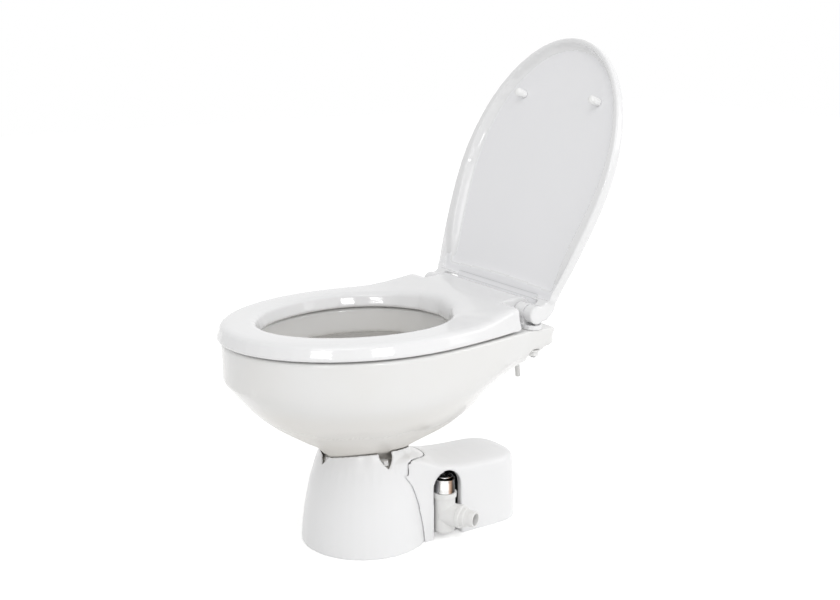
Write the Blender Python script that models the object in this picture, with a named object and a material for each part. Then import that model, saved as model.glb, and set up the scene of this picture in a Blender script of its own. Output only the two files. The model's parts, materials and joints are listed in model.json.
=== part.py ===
"""Electric marine toilet: ceramic bowl on a round pedestal, hinged seat and open lid,
macerator pump and motor lying behind the pedestal under a moulded cover, swivelling discharge elbow.

Frame: +Z up, the front of the bowl looks along -Y, +X is the side with the discharge elbow.
While it is modelled, the pedestal stands on Z = 0 and Y = 0 is the widest line of the seat.
At the end everything moves so that the origin is the middle of the whole object's box, on the floor.
"""

import math

import bmesh
import bpy
from mathutils import Matrix, Vector

MM = 0.001

# Clearances shared by all pieces
GAP = 0.3 * MM
RUNNING_GAP = 0.6 * MM
SEAM = 0.8 * MM
OVERRUN = 6 * MM
WELD = 0.001 * MM

# Bowl: rim outline, rear deck and the glazed wall
FOOT_Z = 126 * MM
BOWL_HEIGHT = 208 * MM
RIM_HEIGHT = FOOT_Z + BOWL_HEIGHT
RIM_HALF_WIDTH = 180 * MM
RIM_FRONT = 227 * MM
RIM_EDGE = 2.2 * MM
DECK_START = 197 * MM
DECK_HALF_WIDTH = 148 * MM
DECK_REAR = 251 * MM
DECK_CORNER = 7 * MM
DECK_THICKNESS = 24 * MM
BAND_HEIGHT = 57 * MM
BAND_RISE_START = 90 * MM
SIDE_TAPER_POWER = 1.6

# Bowl: inside of the basin
OPENING_HALF_WIDTH = 131 * MM
OPENING_FRONT = 178 * MM
OPENING_REAR = 140 * MM
LIP_DEPTH = 42 * MM
LIP_OVERHANG = 12 * MM

# Bowl: foot disc, outlet and the four fixing bolts
PEDESTAL_AXIS_Y = -6.6 * MM
FOOT_RADIUS = 69 * MM
FOOT_THICKNESS = 8.5 * MM
OUTLET_RADIUS = 19 * MM
BOWL_BOLT_CIRCLE = 60 * MM
BOWL_BOLT_RADIUS = 4 * MM
BOWL_BOLT_END = 4 * MM
BOLT_POCKET_RADIUS = 9.5 * MM
BOLT_POCKET_HEIGHT = 25 * MM

# Fasteners
HEX_HEAD_RADIUS = 7.5 * MM
HEX_HEAD_HEIGHT = 7.5 * MM
NUT_RADIUS = 7.5 * MM
NUT_HEIGHT = 6.5 * MM
HEAD_FLANGE_RADIUS = 8.8 * MM
HEAD_FLANGE = 1.6 * MM
BOLT_END = 2.5 * MM

# Seat
SEAT_HALF_WIDTH = 183 * MM
SEAT_FRONT = 233.5 * MM
SEAT_SIDE_END = 170 * MM
SEAT_REAR_HALF_WIDTH = 152.5 * MM
SEAT_REAR = 185 * MM
SEAT_CORNER = 9 * MM
SEAT_LIFT = 3 * MM
SEAT_THICKNESS = 23.5 * MM
SEAT_BOTTOM = RIM_HEIGHT + SEAT_LIFT
SEAT_TOP = SEAT_BOTTOM + SEAT_THICKNESS
SEAT_RISE = 15.5 * MM
SEAT_RISE_START = 90 * MM
SEAT_RISE_END = 200 * MM
SEAT_HOLE_HALF_WIDTH = 122 * MM
SEAT_HOLE_FRONT = 170 * MM
SEAT_HOLE_REAR = 130 * MM
SEAT_ROLL_RADIUS = 20 * MM
SEAT_ROLL_HALF_LENGTH = 104 * MM
SEAT_WEB_START = 150 * MM
SEAT_ROUNDING = 17 * MM
SEAT_INNER_ROUNDING = 15 * MM
SEAT_FOOT_ROUNDING = 3 * MM
SEAT_EDGE_FALL = 10 * MM
BUFFER_RADIUS = 9 * MM
BUFFER_STEM_RADIUS = 3.2 * MM
BUFFER_STEM_LENGTH = 8 * MM

# Lid, as it lies when it is shut
LID_HALF_WIDTH = 186 * MM
LID_FRONT = 227 * MM
LID_SIDE_END = 178 * MM
LID_REAR_HALF_WIDTH = 153.5 * MM
LID_REAR = 192.5 * MM
LID_CORNER = 9 * MM
LID_LIFT = 3.8 * MM
LID_RIM_Z = SEAT_TOP + LID_LIFT
LID_DEPTH = 19.5 * MM
LID_CROWN = 3 * MM
LID_WALL = 3.2 * MM
LID_PANEL = 4.2 * MM
LID_ROUNDING = 15 * MM
LID_EDGE_FALL = 8 * MM
LID_OPEN_DEGREES = 112.5
LID_CUTAWAY_GAP = 3 * MM
LID_FLANGE = 11 * MM
LID_BORDER_FRONT = 4 * MM
LID_BORDER_REAR = 19 * MM
LID_BORDER_EDGE = 1.5 * MM
LID_BORDER_FILLET = 9 * MM
LID_SEAT_CLEARANCE = 2.6 * MM
LID_BUFFER_RADIUS = 6.5 * MM
LID_BUFFER_X = 94 * MM
LID_BUFFER_Y = -129 * MM

# Hinges
HINGE_Y = 214 * MM
HINGE_RISE = 23 * MM
HINGE_Z = RIM_HEIGHT + HINGE_RISE
BARREL_RADIUS = 14 * MM
BARREL_START = 105 * MM
BARREL_LENGTH = 21.4 * MM
KNUCKLE_RADIUS = 14.5 * MM
KNUCKLE_LENGTH = 22 * MM
KNUCKLE_GAP = 0.7 * MM
ARM_FRONT = 188 * MM
HEEL_BACK = 4 * MM
HEEL_HEIGHT = 19 * MM
PIN_RADIUS = 4 * MM
PIN_DEPTH = 14 * MM
POST_PLATE_THICKNESS = 6.7 * MM
POST_PLATE_END = 150 * MM
POST_PLATE_HALF_DEPTH = 15 * MM
POST_NECK_HALF_DEPTH = 12 * MM
STOP_START = 225 * MM
STOP_END = 231.5 * MM
HINGE_BOLT_X = 138 * MM
HINGE_BOLT_RADIUS = 4 * MM
HINGE_HEAD_RADIUS = 7.4 * MM
HINGE_HEAD_HEIGHT = 3.4 * MM
HINGE_SPOT_DEPTH = 32 * MM
HINGE_SPOT_Z = RIM_HEIGHT - HINGE_SPOT_DEPTH
HINGE_SPOT_RADIUS = 12 * MM
HINGE_NUT_FLANGE_RADIUS = 10.5 * MM
HINGE_NUT_FLANGE = 2 * MM
HINGE_NUT_RADIUS = 8 * MM
HINGE_NUT_HEIGHT = 9.5 * MM

# Rinse water inlet under the deck
RINSE_X = 72 * MM
RINSE_Y = 229 * MM
RINSE_LEAN_DEGREES = 7
RINSE_SEAT_DEPTH = 36 * MM
RINSE_DROP = 59 * MM
RINSE_SEAT_Z = RIM_HEIGHT - RINSE_SEAT_DEPTH
RINSE_END_Z = RINSE_SEAT_Z - RINSE_DROP
RINSE_TUBE_RADIUS = 4 * MM
RINSE_BORE_RADIUS = 2.4 * MM
RINSE_PLUG_RADIUS = 6.5 * MM
RINSE_PLUG_LENGTH = 14 * MM
RINSE_FLANGE_RADIUS = 9.5 * MM
RINSE_FLANGE = 3 * MM

# Pedestal
PEDESTAL_FOOT_RADIUS = 99.5 * MM
PEDESTAL_COLLAR = 34 * MM
PEDESTAL_HEIGHT = FOOT_Z + PEDESTAL_COLLAR
PEDESTAL_WALL = 4 * MM
FOOT_FLANGE_INNER = 80 * MM
FOOT_FLANGE_HEIGHT = 6 * MM
SHELF_THICKNESS = 7.7 * MM
SHELF_HOLE_RADIUS = 24 * MM
NOTCH_HALF_WIDTH = 11 * MM
NOTCH_TIP_RISE = 5 * MM
NOTCH_SHOULDER_RISE = 22 * MM
NOTCH_TIP_Z = FOOT_Z + NOTCH_TIP_RISE
NOTCH_SHOULDER_Z = FOOT_Z + NOTCH_SHOULDER_RISE
FLOOR_HOLE_RADIUS = 3.5 * MM
PUMP_DOOR_RADIUS = 49 * MM

# Motor cover and the neck that joins it to the pedestal
COVER_NEAR_X = 80 * MM
COVER_FAR_X = -42 * MM
COVER_DRAFT = 3 * MM
COVER_DRAFT_HEIGHT = 108 * MM
COVER_END_CENTRE_Y = 192 * MM
COVER_REAR_Y = 254 * MM
COVER_REAR_DRAFT = 5 * MM
COVER_START_Y = 4 * MM
COVER_TOP_LOW = 110 * MM
COVER_TOP_RISE = 33 * MM
COVER_RISE_DECAY = 1.7
COVER_RISE_LENGTH = 58 * MM
COVER_RISE_Y = 50 * MM
COVER_EDGE = 13 * MM
COVER_CROWN = 4 * MM
COVER_WALL = 3 * MM
NECK_HALF_WIDTH = 78 * MM
NECK_REAR = 91 * MM
NECK_SEAM_Z = 112 * MM
ARCH_CENTRE_Y = 98.5 * MM
ARCH_HALF_WIDTH = 25.5 * MM
ARCH_TOP = 108 * MM
ARCH_LIP = 2.5 * MM
ARCH_LIP_DEPTH = 11 * MM

# Pump and motor line, lying along Y
SHAFT_X = 20 * MM
SHAFT_Z = 60 * MM
SHAFT_RADIUS = 4 * MM
SHAFT_START = 45 * MM
CHAMBER_RADIUS = 36 * MM
CHAMBER_WALL = 4 * MM
CHAMBER_FRONT = -44 * MM
PUMP_SPLIT_Y = 64 * MM
PUMP_FLANGE_RADIUS = 46 * MM
PUMP_FLANGE = 4.5 * MM
NECK_TUBE_RADIUS = 23 * MM
OUTLET_SEAL_HEIGHT = 4.4 * MM
CUTTER_PLATE = 3 * MM
CUTTER_PLATE_RADIUS = 33.5 * MM
CUTTER_HOLE_RADIUS = 5.5 * MM
CUTTER_HOLE_CIRCLE = 19 * MM
BLADE_THICKNESS = 4 * MM
BLADE_HALF_LENGTH = 27 * MM
BLADE_HALF_WIDTH = 5 * MM
BLADE_HUB_RADIUS = 9 * MM
BLADE_GAP = 2 * MM
PUMP_BODY_RADIUS = 35.5 * MM
PUMP_REAR_Y = 106 * MM
PUMP_BACK_WALL = 8 * MM
IMPELLER_RADIUS = 30 * MM
IMPELLER_DISC = 4 * MM
IMPELLER_VANE = 12 * MM
IMPELLER_VANE_THICKNESS = 3 * MM
SEAL_RADIUS = 11 * MM
PUMP_SCREW_RADIUS = 2.4 * MM
PUMP_SCREW_CIRCLE = 40.5 * MM
PUMP_SCREW_DEGREES = 20
PUMP_SCREW_HEAD = 3 * MM

# Motor
MOTOR_RADIUS = 38 * MM
MOTOR_WALL = 2 * MM
BELL_RADIUS = 39 * MM
FRONT_BELL = 11.4 * MM
MOTOR_CAN_LENGTH = 104 * MM
REAR_BELL = 12 * MM
BEARING_RADIUS = 11 * MM
BEARING_WIDTH = 7.4 * MM
MAGNET_THICKNESS = 4.6 * MM
MAGNET_LENGTH = 70 * MM
ARMATURE_RADIUS = 29 * MM
ARMATURE_START = 137 * MM
ARMATURE_LENGTH = 58 * MM
WINDING_RADIUS = 23 * MM
WINDING_LENGTH = 8 * MM
SLOT_DEPTH = 9.5 * MM
SLOT_BAR_HALF_WIDTH = 1.2 * MM
COMMUTATOR_RADIUS = 10 * MM
COMMUTATOR_START = 205 * MM
COMMUTATOR_LENGTH = 9.5 * MM
BRUSH_HALF_WIDTH = 3 * MM
BRUSH_LENGTH = 11 * MM
BRUSH_TUBE_WALL = 1.2 * MM
BRUSH_TUBE_END = 34 * MM
BRUSH_CARD = 2 * MM
BRUSH_CARD_Y = 216.5 * MM
SPRING_WIRE_RADIUS = 0.4 * MM
SPRING_COIL_RADIUS = 2.2 * MM
BELL_SPIGOT = 3 * MM
LEAD_RADIUS = 1.6 * MM
LEAD_SPACING = 5 * MM
LEAD_DEGREES = 40
LEAD_OUT_X = 64 * MM
LEAD_DROP_Z = 60 * MM
LEAD_END_X = 58 * MM
LEAD_END_Y = 122 * MM
SOCKET_HEIGHT = 12 * MM

# Pump bed on the floor
BED_THICKNESS = 5 * MM
BED_FRONT = -26 * MM
BED_REAR = 238 * MM
BED_NEAR_X = 73 * MM
BED_FAR_X = -33 * MM
BED_WIDE_START = 127.5 * MM
BED_WIDE_END = 214 * MM
BED_TONGUE = 45 * MM
BED_TAIL = 20 * MM
SADDLE_TOP = 40.5 * MM
SADDLE_START = 138 * MM
SADDLE_END = 192 * MM
CRADLE_Y = 14 * MM
CRADLE_DEPTH = 12 * MM
STRAP_THICKNESS = 1.6 * MM
STRAP_HALF_WIDTH = 9 * MM
STRAP_EAR = 14 * MM
STRAP_SCREW_RADIUS = 2.2 * MM
STRAP_SCREW_HEAD = 4.4 * MM
STRAP_SCREW_HEAD_HEIGHT = 2.6 * MM
STRAP_SCREW_DEPTH = 14 * MM
BOSS_HALF_WIDTH = 6 * MM
BOSS_HEIGHT = 20 * MM
COVER_SCREW_Z = 14 * MM
COVER_SCREW_RADIUS = 2.2 * MM
COVER_SCREW_HEAD = 4.6 * MM
COVER_SCREW_HEAD_HEIGHT = 2.4 * MM
COVER_SCREW_LENGTH = 14 * MM
COVER_SCREW_Y = 124 * MM

# Discharge duct, swivelling elbow and hose tail
PORT_X = 74 * MM
PORT_Y = 95 * MM
DUCT_HALF_WIDTH = 10 * MM
DUCT_BOTTOM = 80 * MM
DUCT_TOP = 97 * MM
DUCT_BORE_RADIUS = 6.5 * MM
COLLAR_RADIUS = 15 * MM
SPIGOT_RADIUS = 11 * MM
SPIGOT_BORE_RADIUS = 8.5 * MM
SPIGOT_END_Z = 57 * MM
ELBOW_RADIUS = 17 * MM
ELBOW_BORE_RADIUS = 12 * MM
ELBOW_FLANGE_RADIUS = 19 * MM
ELBOW_FLANGE = 8 * MM
ELBOW_TOP_Z = 75 * MM
ELBOW_BOTTOM_Z = 5 * MM
BRANCH_Z = 39 * MM
BRANCH_RADIUS = 18 * MM
BRANCH_END = 27 * MM
BRANCH_BORE_RADIUS = 11 * MM
TAIL_DEGREES = 26
TAIL_COLLAR_RADIUS = 18.5 * MM
TAIL_COLLAR_END = 33 * MM
TAIL_STEP_RADIUS = 15 * MM
TAIL_STEP_END = 40 * MM
TAIL_END = 56 * MM
TAIL_RADIUS = 12.5 * MM
TAIL_BARB = 0.8 * MM
TAIL_BORE_RADIUS = 9.6 * MM
TAIL_PLUG_DEPTH = 8 * MM
O_RING_RADIUS = 1.2 * MM

# Roundness of the facets
CIRCLE_STEPS = 36
HIDDEN_STEPS = 24
SMALL_STEPS = 12
STRAP_STEPS = 16
FRONT_STEPS = 12
SIDE_STEPS = 5
CORNER_STEPS = 3
EDGE_STEPS = 2

FINISHES = {
    "ceramic": ((0.88, 0.88, 0.86), 0.12, 0.0),
    "seat_plastic": ((0.90, 0.90, 0.90), 0.16, 0.0),
    "casing_plastic": ((0.86, 0.86, 0.88), 0.32, 0.0),
    "grey_plastic": ((0.72, 0.73, 0.72), 0.42, 0.0),
    "clear_plastic": ((0.66, 0.67, 0.66), 0.25, 0.0),
    "black_plastic": ((0.03, 0.03, 0.03), 0.45, 0.0),
    "rubber": ((0.05, 0.05, 0.05), 0.8, 0.0),
    "pale_rubber": ((0.80, 0.80, 0.79), 0.6, 0.0),
    "steel": ((0.62, 0.62, 0.63), 0.3, 1.0),
    "black_steel": ((0.03, 0.03, 0.035), 0.4, 0.0),
    "cast_alloy": ((0.55, 0.55, 0.56), 0.45, 1.0),
    "copper": ((0.72, 0.38, 0.22), 0.35, 1.0),
    "carbon": ((0.06, 0.06, 0.06), 0.55, 0.0),
    "ferrite": ((0.08, 0.08, 0.09), 0.6, 0.0),
    "brown_wire": ((0.42, 0.22, 0.12), 0.5, 0.0),
}


def clear_scene():
    for obj in list(bpy.data.objects):
        bpy.data.objects.remove(obj, do_unlink=True)


def finish(name):
    """Principled material of one finish, made the first time it is asked for."""
    if name in bpy.data.materials:
        return bpy.data.materials[name]
    colour, roughness, metallic = FINISHES[name]
    made = bpy.data.materials.new(name)
    made.use_nodes = True
    shader = made.node_tree.nodes["Principled BSDF"]
    shader.inputs["Base Color"].default_value = (*colour, 1.0)
    shader.inputs["Roughness"].default_value = roughness
    shader.inputs["Metallic"].default_value = metallic
    return made


def carrier(name, place, parent=None):
    """Empty on a joint's axis, which carries the pieces that move together."""
    empty = bpy.data.objects.new(name, None)
    bpy.context.scene.collection.objects.link(empty)
    origin = Vector(place)
    if parent:
        empty.parent = parent
        origin = origin - parent.matrix_world.translation
    empty.location = origin
    bpy.context.view_layer.update()
    return empty


def settle(shape, name, look, parent):
    """Name a finished shape, give it its material and hang it on its carrier."""
    shape.name = name
    shape.data.name = name
    shape.data.materials.clear()
    shape.data.materials.append(finish(look))
    shape.data.transform(Matrix.Translation(-parent.matrix_world.translation))
    shape.data.shade_smooth()
    shape.data.set_sharp_from_angle(angle=math.radians(32))
    shape.parent = parent
    return shape


# Shape tools


def shape_from(mesh_data):
    bmesh.ops.recalc_face_normals(mesh_data, faces=mesh_data.faces)
    mesh = bpy.data.meshes.new("shape")
    mesh_data.to_mesh(mesh)
    mesh_data.free()
    shape = bpy.data.objects.new("shape", mesh)
    bpy.context.scene.collection.objects.link(shape)
    return shape


def loft(rings, around=False):
    """Skin through rings of equally many points; around joins the last ring to the first."""
    data = bmesh.new()
    rows = [[data.verts.new(point) for point in ring] for ring in rings]
    count = len(rows[0])
    pairs = list(zip(rows, rows[1:]))
    if around:
        pairs.append((rows[-1], rows[0]))
    for low, high in pairs:
        for i in range(count):
            j = (i + 1) % count
            data.faces.new((low[i], low[j], high[j], high[i]))
    if not around:
        data.faces.new(rows[0][::-1])
        data.faces.new(rows[-1])
    bmesh.ops.triangulate(data, faces=data.faces)
    return shape_from(data)


def turned(profile, base=(0, 0, 0), along=(0, 0, 1), steps=CIRCLE_STEPS):
    """Turn a (radius, height) outline about an axis; one that ends on the axis stays open there."""
    data = bmesh.new()
    points = [data.verts.new((radius, 0, height)) for radius, height in profile]
    edges = [data.edges.new(pair) for pair in zip(points, points[1:])]
    if profile[0][0] > 0:
        edges.append(data.edges.new((points[-1], points[0])))
    bmesh.ops.spin(data, geom=points + edges, cent=(0, 0, 0), axis=(0, 0, 1),
                   angle=math.tau, steps=steps, use_merge=True)
    bmesh.ops.remove_doubles(data, verts=data.verts, dist=WELD)
    turn = Vector((0, 0, 1)).rotation_difference(Vector(along)).to_matrix().to_4x4()
    data.transform(Matrix.Translation(base) @ turn)
    return shape_from(data)


def rod(radius, start, end, steps=SMALL_STEPS):
    """Solid cylinder between two points."""
    start, end = Vector(start), Vector(end)
    reach = (end - start).length
    data = bmesh.new()
    bmesh.ops.create_cone(data, cap_ends=True, segments=steps, radius1=radius, radius2=radius, depth=reach)
    turn = Vector((0, 0, 1)).rotation_difference(end - start).to_matrix().to_4x4()
    data.transform(Matrix.Translation((start + end) / 2) @ turn)
    return shape_from(data)


def pipe(inner, outer, start, end, steps=CIRCLE_STEPS):
    """Tube between two points."""
    start, end = Vector(start), Vector(end)
    reach = (end - start).length
    profile = [(inner, 0), (outer, 0), (outer, reach), (inner, reach)]
    return turned(profile, start, end - start, steps)


def swept(points, radius, sides):
    """Round cord along a line of points, its ring carried along without twist."""
    ways = [(after - before).normalized() for before, after in zip(points, points[1:])]
    ways = [ways[0]] + [(a + b).normalized() for a, b in zip(ways, ways[1:])] + [ways[-1]]
    first = ways[0].orthogonal().normalized()
    rings = []
    for point, way in zip(points, ways):
        first = (first - way * first.dot(way)).normalized()
        second = way.cross(first)
        rings.append([point + (first * math.cos(turn) + second * math.sin(turn)) * radius
                      for turn in (math.tau * k / sides for k in range(sides))])
    return loft(rings)


def block(low, high):
    """Box between two corners."""
    low, high = Vector(low), Vector(high)
    data = bmesh.new()
    bmesh.ops.create_cube(data, size=1.0)
    bmesh.ops.scale(data, vec=high - low, verts=data.verts)
    bmesh.ops.translate(data, vec=(low + high) / 2, verts=data.verts)
    return shape_from(data)


def prism(outline, start, end, place):
    """Extrude a flat outline; place turns (u, v, w) with w along the extrusion into a point."""
    data = bmesh.new()
    face = data.faces.new([data.verts.new(place(u, v, start)) for u, v in outline])
    grown = bmesh.ops.extrude_face_region(data, geom=[face])
    moved = [item for item in grown["geom"] if isinstance(item, bmesh.types.BMVert)]
    step = Vector(place(0, 0, end)) - Vector(place(0, 0, start))
    bmesh.ops.translate(data, vec=step, verts=moved)
    return shape_from(data)


def along_x(u, v, w):
    return (w, u, v)


def along_z(u, v, w):
    return (u, v, w)


def combine(body, tool, operation):
    change = body.modifiers.new("combine", "BOOLEAN")
    change.operation = operation
    change.solver = "EXACT"
    change.object = tool
    graph = bpy.context.evaluated_depsgraph_get()
    body.data = bpy.data.meshes.new_from_object(body.evaluated_get(graph))
    body.modifiers.clear()
    bpy.data.objects.remove(tool, do_unlink=True)
    data = bmesh.new()
    data.from_mesh(body.data)
    bmesh.ops.remove_doubles(data, verts=data.verts, dist=WELD)
    bmesh.ops.dissolve_degenerate(data, edges=data.edges, dist=WELD)
    data.to_mesh(body.data)
    data.free()
    return body


def cut(body, *tools):
    for tool in tools:
        combine(body, tool, "DIFFERENCE")
    return body


def fuse(body, *tools):
    for tool in tools:
        combine(body, tool, "UNION")
    return body


def keep(body, tool):
    return combine(body, tool, "INTERSECT")


def copies(places, name, look, parent, make):
    """One numbered piece at each place."""
    for number, place in enumerate(places, 1):
        settle(make(*place), f"{name}_{number}", look, parent)


def arc(centre, radius, first, last, steps):
    """Points of an arc in a plane, its angles in degrees."""
    angles = [math.radians(first + (last - first) * i / steps) for i in range(steps + 1)]
    return [(centre[0] + radius * math.cos(a), centre[1] + radius * math.sin(a)) for a in angles]


def smooth(share):
    share = min(max(share, 0.0), 1.0)
    return share * share * (3 - 2 * share)


def mirrored(half):
    """Closed outline from its right half, which starts and ends on the middle line."""
    return half + [(-x, y) for x, y in half[-2:0:-1]]


# Outlines seen from above


def oval_side(half_width, front, side_end, end_half_width, rear, corner):
    """Right half of a seat-shaped outline: half an ellipse in front, a tapered side, a square back."""
    half = [(half_width * math.sin(a), -front * math.cos(a))
            for a in (math.pi / 2 * i / FRONT_STEPS for i in range(FRONT_STEPS + 1))]
    half[0] = (0, -front)
    for i in range(1, SIDE_STEPS + 1):
        share = i / SIDE_STEPS
        taper = (half_width - end_half_width) * share ** SIDE_TAPER_POWER
        half.append((half_width - taper, side_end * share))
    half += arc((end_half_width - corner, rear - corner), corner, 0, 90, CORNER_STEPS)
    for i in range(1, EDGE_STEPS + 1):
        half.append(((end_half_width - corner) * (1 - i / EDGE_STEPS), rear))
    return half


def oval_points(outline, half_width, front, rear, centre_y=0):
    """Ellipse-like ring whose points answer those of an outline."""
    reach_front = -min(y for x, y in outline)
    reach_rear = max(y for x, y in outline)
    reach_side = max(x for x, y in outline)
    ring = []
    for x, y in outline:
        reach = reach_rear if y > 0 else reach_front
        angle = math.atan2(y / reach, x / reach_side)
        length = rear if y > 0 else front
        ring.append((half_width * math.cos(angle), centre_y + length * math.sin(angle)))
    return ring


def stretched(outline, half_width, front, rear):
    """The same outline at another width, front reach and rear reach."""
    reach_front = -min(y for x, y in outline)
    reach_rear = max(y for x, y in outline)
    reach_side = max(x for x, y in outline)
    return [(x * half_width / reach_side, y * (rear / reach_rear if y > 0 else front / reach_front))
            for x, y in outline]


def blended(first, second, share):
    return [(a[0] + (b[0] - a[0]) * share, a[1] + (b[1] - a[1]) * share) for a, b in zip(first, second)]


def inset(outline, guide, distance):
    """Move each point of an outline towards its answering point on a guide line."""
    ring = []
    for point, aim in zip(outline, guide):
        way = Vector(aim) - Vector(point)
        ring.append(tuple(Vector(point) + way.normalized() * distance))
    return ring


def at_height(ring, height):
    return [(x, y, height) for x, y in ring]


# Bowl

# Height as a share of the bowl's, then half width, front and rear reach as shares of the rim's,
# squareness and rear lift
BOWL_OUTSIDE_SHARES = (
    (0.7254, 0.989, 0.996, 0.992, 1.00, 1.00),
    (0.6676, 0.988, 0.960, 0.866, 0.70, 0.84),
    (0.6050, 0.960, 0.914, 0.778, 0.35, 0.42),
    (0.5295, 0.901, 0.855, 0.742, 0.12, 0.12),
    (0.4524, 0.836, 0.785, 0.704, 0.00, 0.00),
    (0.3754, 0.734, 0.702, 0.645, 0.00, 0.00),
    (0.2983, 0.625, 0.595, 0.574, 0.00, 0.00),
    (0.2212, 0.484, 0.485, 0.462, 0.00, 0.00),
    (0.1538, 0.365, 0.368, 0.368, 0.00, 0.00),
    (0.1104, 0.290, 0.340, 0.307, 0.00, 0.00),
    (0.0847, 0.255, 0.326, 0.278, 0.00, 0.00),
    (0.0574, 0.240, 0.313, 0.259, 0.00, 0.00),
)
BOWL_WAIST_SHARES = (0.236, 0.308, 0.243)

# Height as a share of the bowl's, then half width, front reach and rear reach as shares of the rim's
BASIN_SHARES = (
    (0.7500, 0.864, 0.895, 0.636),
    (0.6628, 0.858, 0.866, 0.631),
    (0.5295, 0.794, 0.767, 0.590),
    (0.4235, 0.678, 0.656, 0.543),
    (0.3465, 0.567, 0.546, 0.478),
    (0.2790, 0.444, 0.445, 0.385),
    (0.2116, 0.311, 0.317, 0.275),
    (0.1634, 0.211, 0.220, 0.186),
    (0.1297, 0.144, 0.150, 0.113),
)


def rim_outline():
    return mirrored(oval_side(RIM_HALF_WIDTH, RIM_FRONT, DECK_START, DECK_HALF_WIDTH, DECK_REAR,
                              DECK_CORNER))


def band_lift(y):
    """Rise of the band's lower edge towards the thin rear edge of the deck."""
    rise = BAND_HEIGHT - DECK_THICKNESS
    return rise * max(0.0, (y - BAND_RISE_START) / (DECK_REAR - BAND_RISE_START))


def bowl_outside(grow=0.0):
    """Rings of the bowl's outer wall from the band's lower edge down to the waist above the foot."""
    outline = rim_outline()
    rings = []
    for height, width, front, rear, square, lift in BOWL_OUTSIDE_SHARES:
        sizes = (RIM_HALF_WIDTH * width + grow, RIM_FRONT * front + grow, DECK_REAR * rear + grow)
        ring = blended(oval_points(outline, *sizes), stretched(outline, *sizes), square)
        rings.append([(x, y, FOOT_Z + BOWL_HEIGHT * height + band_lift(y) * lift - grow) for x, y in ring])
    return rings


def make_bowl(root):
    outline = rim_outline()
    opening = oval_points(outline, OPENING_HALF_WIDTH, OPENING_FRONT, OPENING_REAR)
    top = at_height(inset(outline, opening, RIM_EDGE), RIM_HEIGHT)
    edge = at_height(outline, RIM_HEIGHT - RIM_EDGE)
    rings = [top, edge] + bowl_outside()
    waist = [RIM_HALF_WIDTH * BOWL_WAIST_SHARES[0], RIM_FRONT * BOWL_WAIST_SHARES[1],
             DECK_REAR * BOWL_WAIST_SHARES[2]]
    foot_top = FOOT_Z + FOOT_THICKNESS
    rings.append(at_height(oval_points(outline, *waist), foot_top))
    disc = oval_points(outline, FOOT_RADIUS, FOOT_RADIUS, FOOT_RADIUS, PEDESTAL_AXIS_Y)
    outlet = oval_points(outline, OUTLET_RADIUS, OUTLET_RADIUS, OUTLET_RADIUS, PEDESTAL_AXIS_Y)
    rings += [at_height(disc, foot_top), at_height(disc, FOOT_Z), at_height(outlet, FOOT_Z)]
    rings.append(at_height(outlet, FOOT_Z + BOWL_HEIGHT * BASIN_SHARES[-1][0] - RIM_EDGE))
    for height, width, front, rear in reversed(BASIN_SHARES):
        sizes = (RIM_HALF_WIDTH * width, RIM_FRONT * front, DECK_REAR * rear)
        rings.append(at_height(oval_points(outline, *sizes), FOOT_Z + BOWL_HEIGHT * height))
    lip_z = RIM_HEIGHT - LIP_DEPTH
    under_lip = oval_points(outline, OPENING_HALF_WIDTH + LIP_OVERHANG, OPENING_FRONT + LIP_OVERHANG,
                            OPENING_REAR + LIP_OVERHANG)
    rings.append(at_height(under_lip, lip_z))
    rings.append(at_height(opening, lip_z + RIM_EDGE))
    rings.append(at_height(opening, RIM_HEIGHT - RIM_EDGE))
    rings.append(at_height(inset(opening, outline, RIM_EDGE), RIM_HEIGHT))
    bowl = loft(rings, around=True)

    pocket_top = FOOT_Z + BOLT_POCKET_HEIGHT
    for x, y in bowl_bolt_places():
        hole = BOWL_BOLT_RADIUS + GAP
        profile = [(0, FOOT_Z - OVERRUN), (hole, FOOT_Z - OVERRUN), (hole, foot_top - GAP),
                   (BOLT_POCKET_RADIUS, foot_top - GAP), (BOLT_POCKET_RADIUS, pocket_top - RIM_EDGE),
                   (BOLT_POCKET_RADIUS - RIM_EDGE, pocket_top), (0, pocket_top)]
        cut(bowl, turned(profile, (x, y, 0), steps=SMALL_STEPS))
    for side in (1, -1):
        hole = HINGE_BOLT_RADIUS + GAP
        below = HINGE_SPOT_Z - BAND_HEIGHT
        profile = [(0, below), (HINGE_SPOT_RADIUS, below), (HINGE_SPOT_RADIUS, HINGE_SPOT_Z),
                   (hole, HINGE_SPOT_Z),
                   (hole, RIM_HEIGHT + OVERRUN), (0, RIM_HEIGHT + OVERRUN)]
        cut(bowl, turned(profile, (side * HINGE_BOLT_X, HINGE_Y, 0), steps=SMALL_STEPS))
    spot = rod(RINSE_FLANGE_RADIUS + RUNNING_GAP, rinse_point(RINSE_END_Z), rinse_point(RINSE_SEAT_Z))
    socket = rod(RINSE_PLUG_RADIUS + GAP, rinse_point(RINSE_SEAT_Z - OVERRUN),
                 rinse_point(RINSE_SEAT_Z + RINSE_PLUG_LENGTH + RIM_EDGE))
    cut(bowl, spot, socket)
    settle(bowl, "bowl", "ceramic", root)


def bowl_bolt_places():
    """The four bolts under the pedestal's notches: front, near side, rear and far side."""
    return [(BOWL_BOLT_CIRCLE * math.sin(a), PEDESTAL_AXIS_Y - BOWL_BOLT_CIRCLE * math.cos(a))
            for a in (math.pi / 2 * i for i in range(4))]


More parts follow.
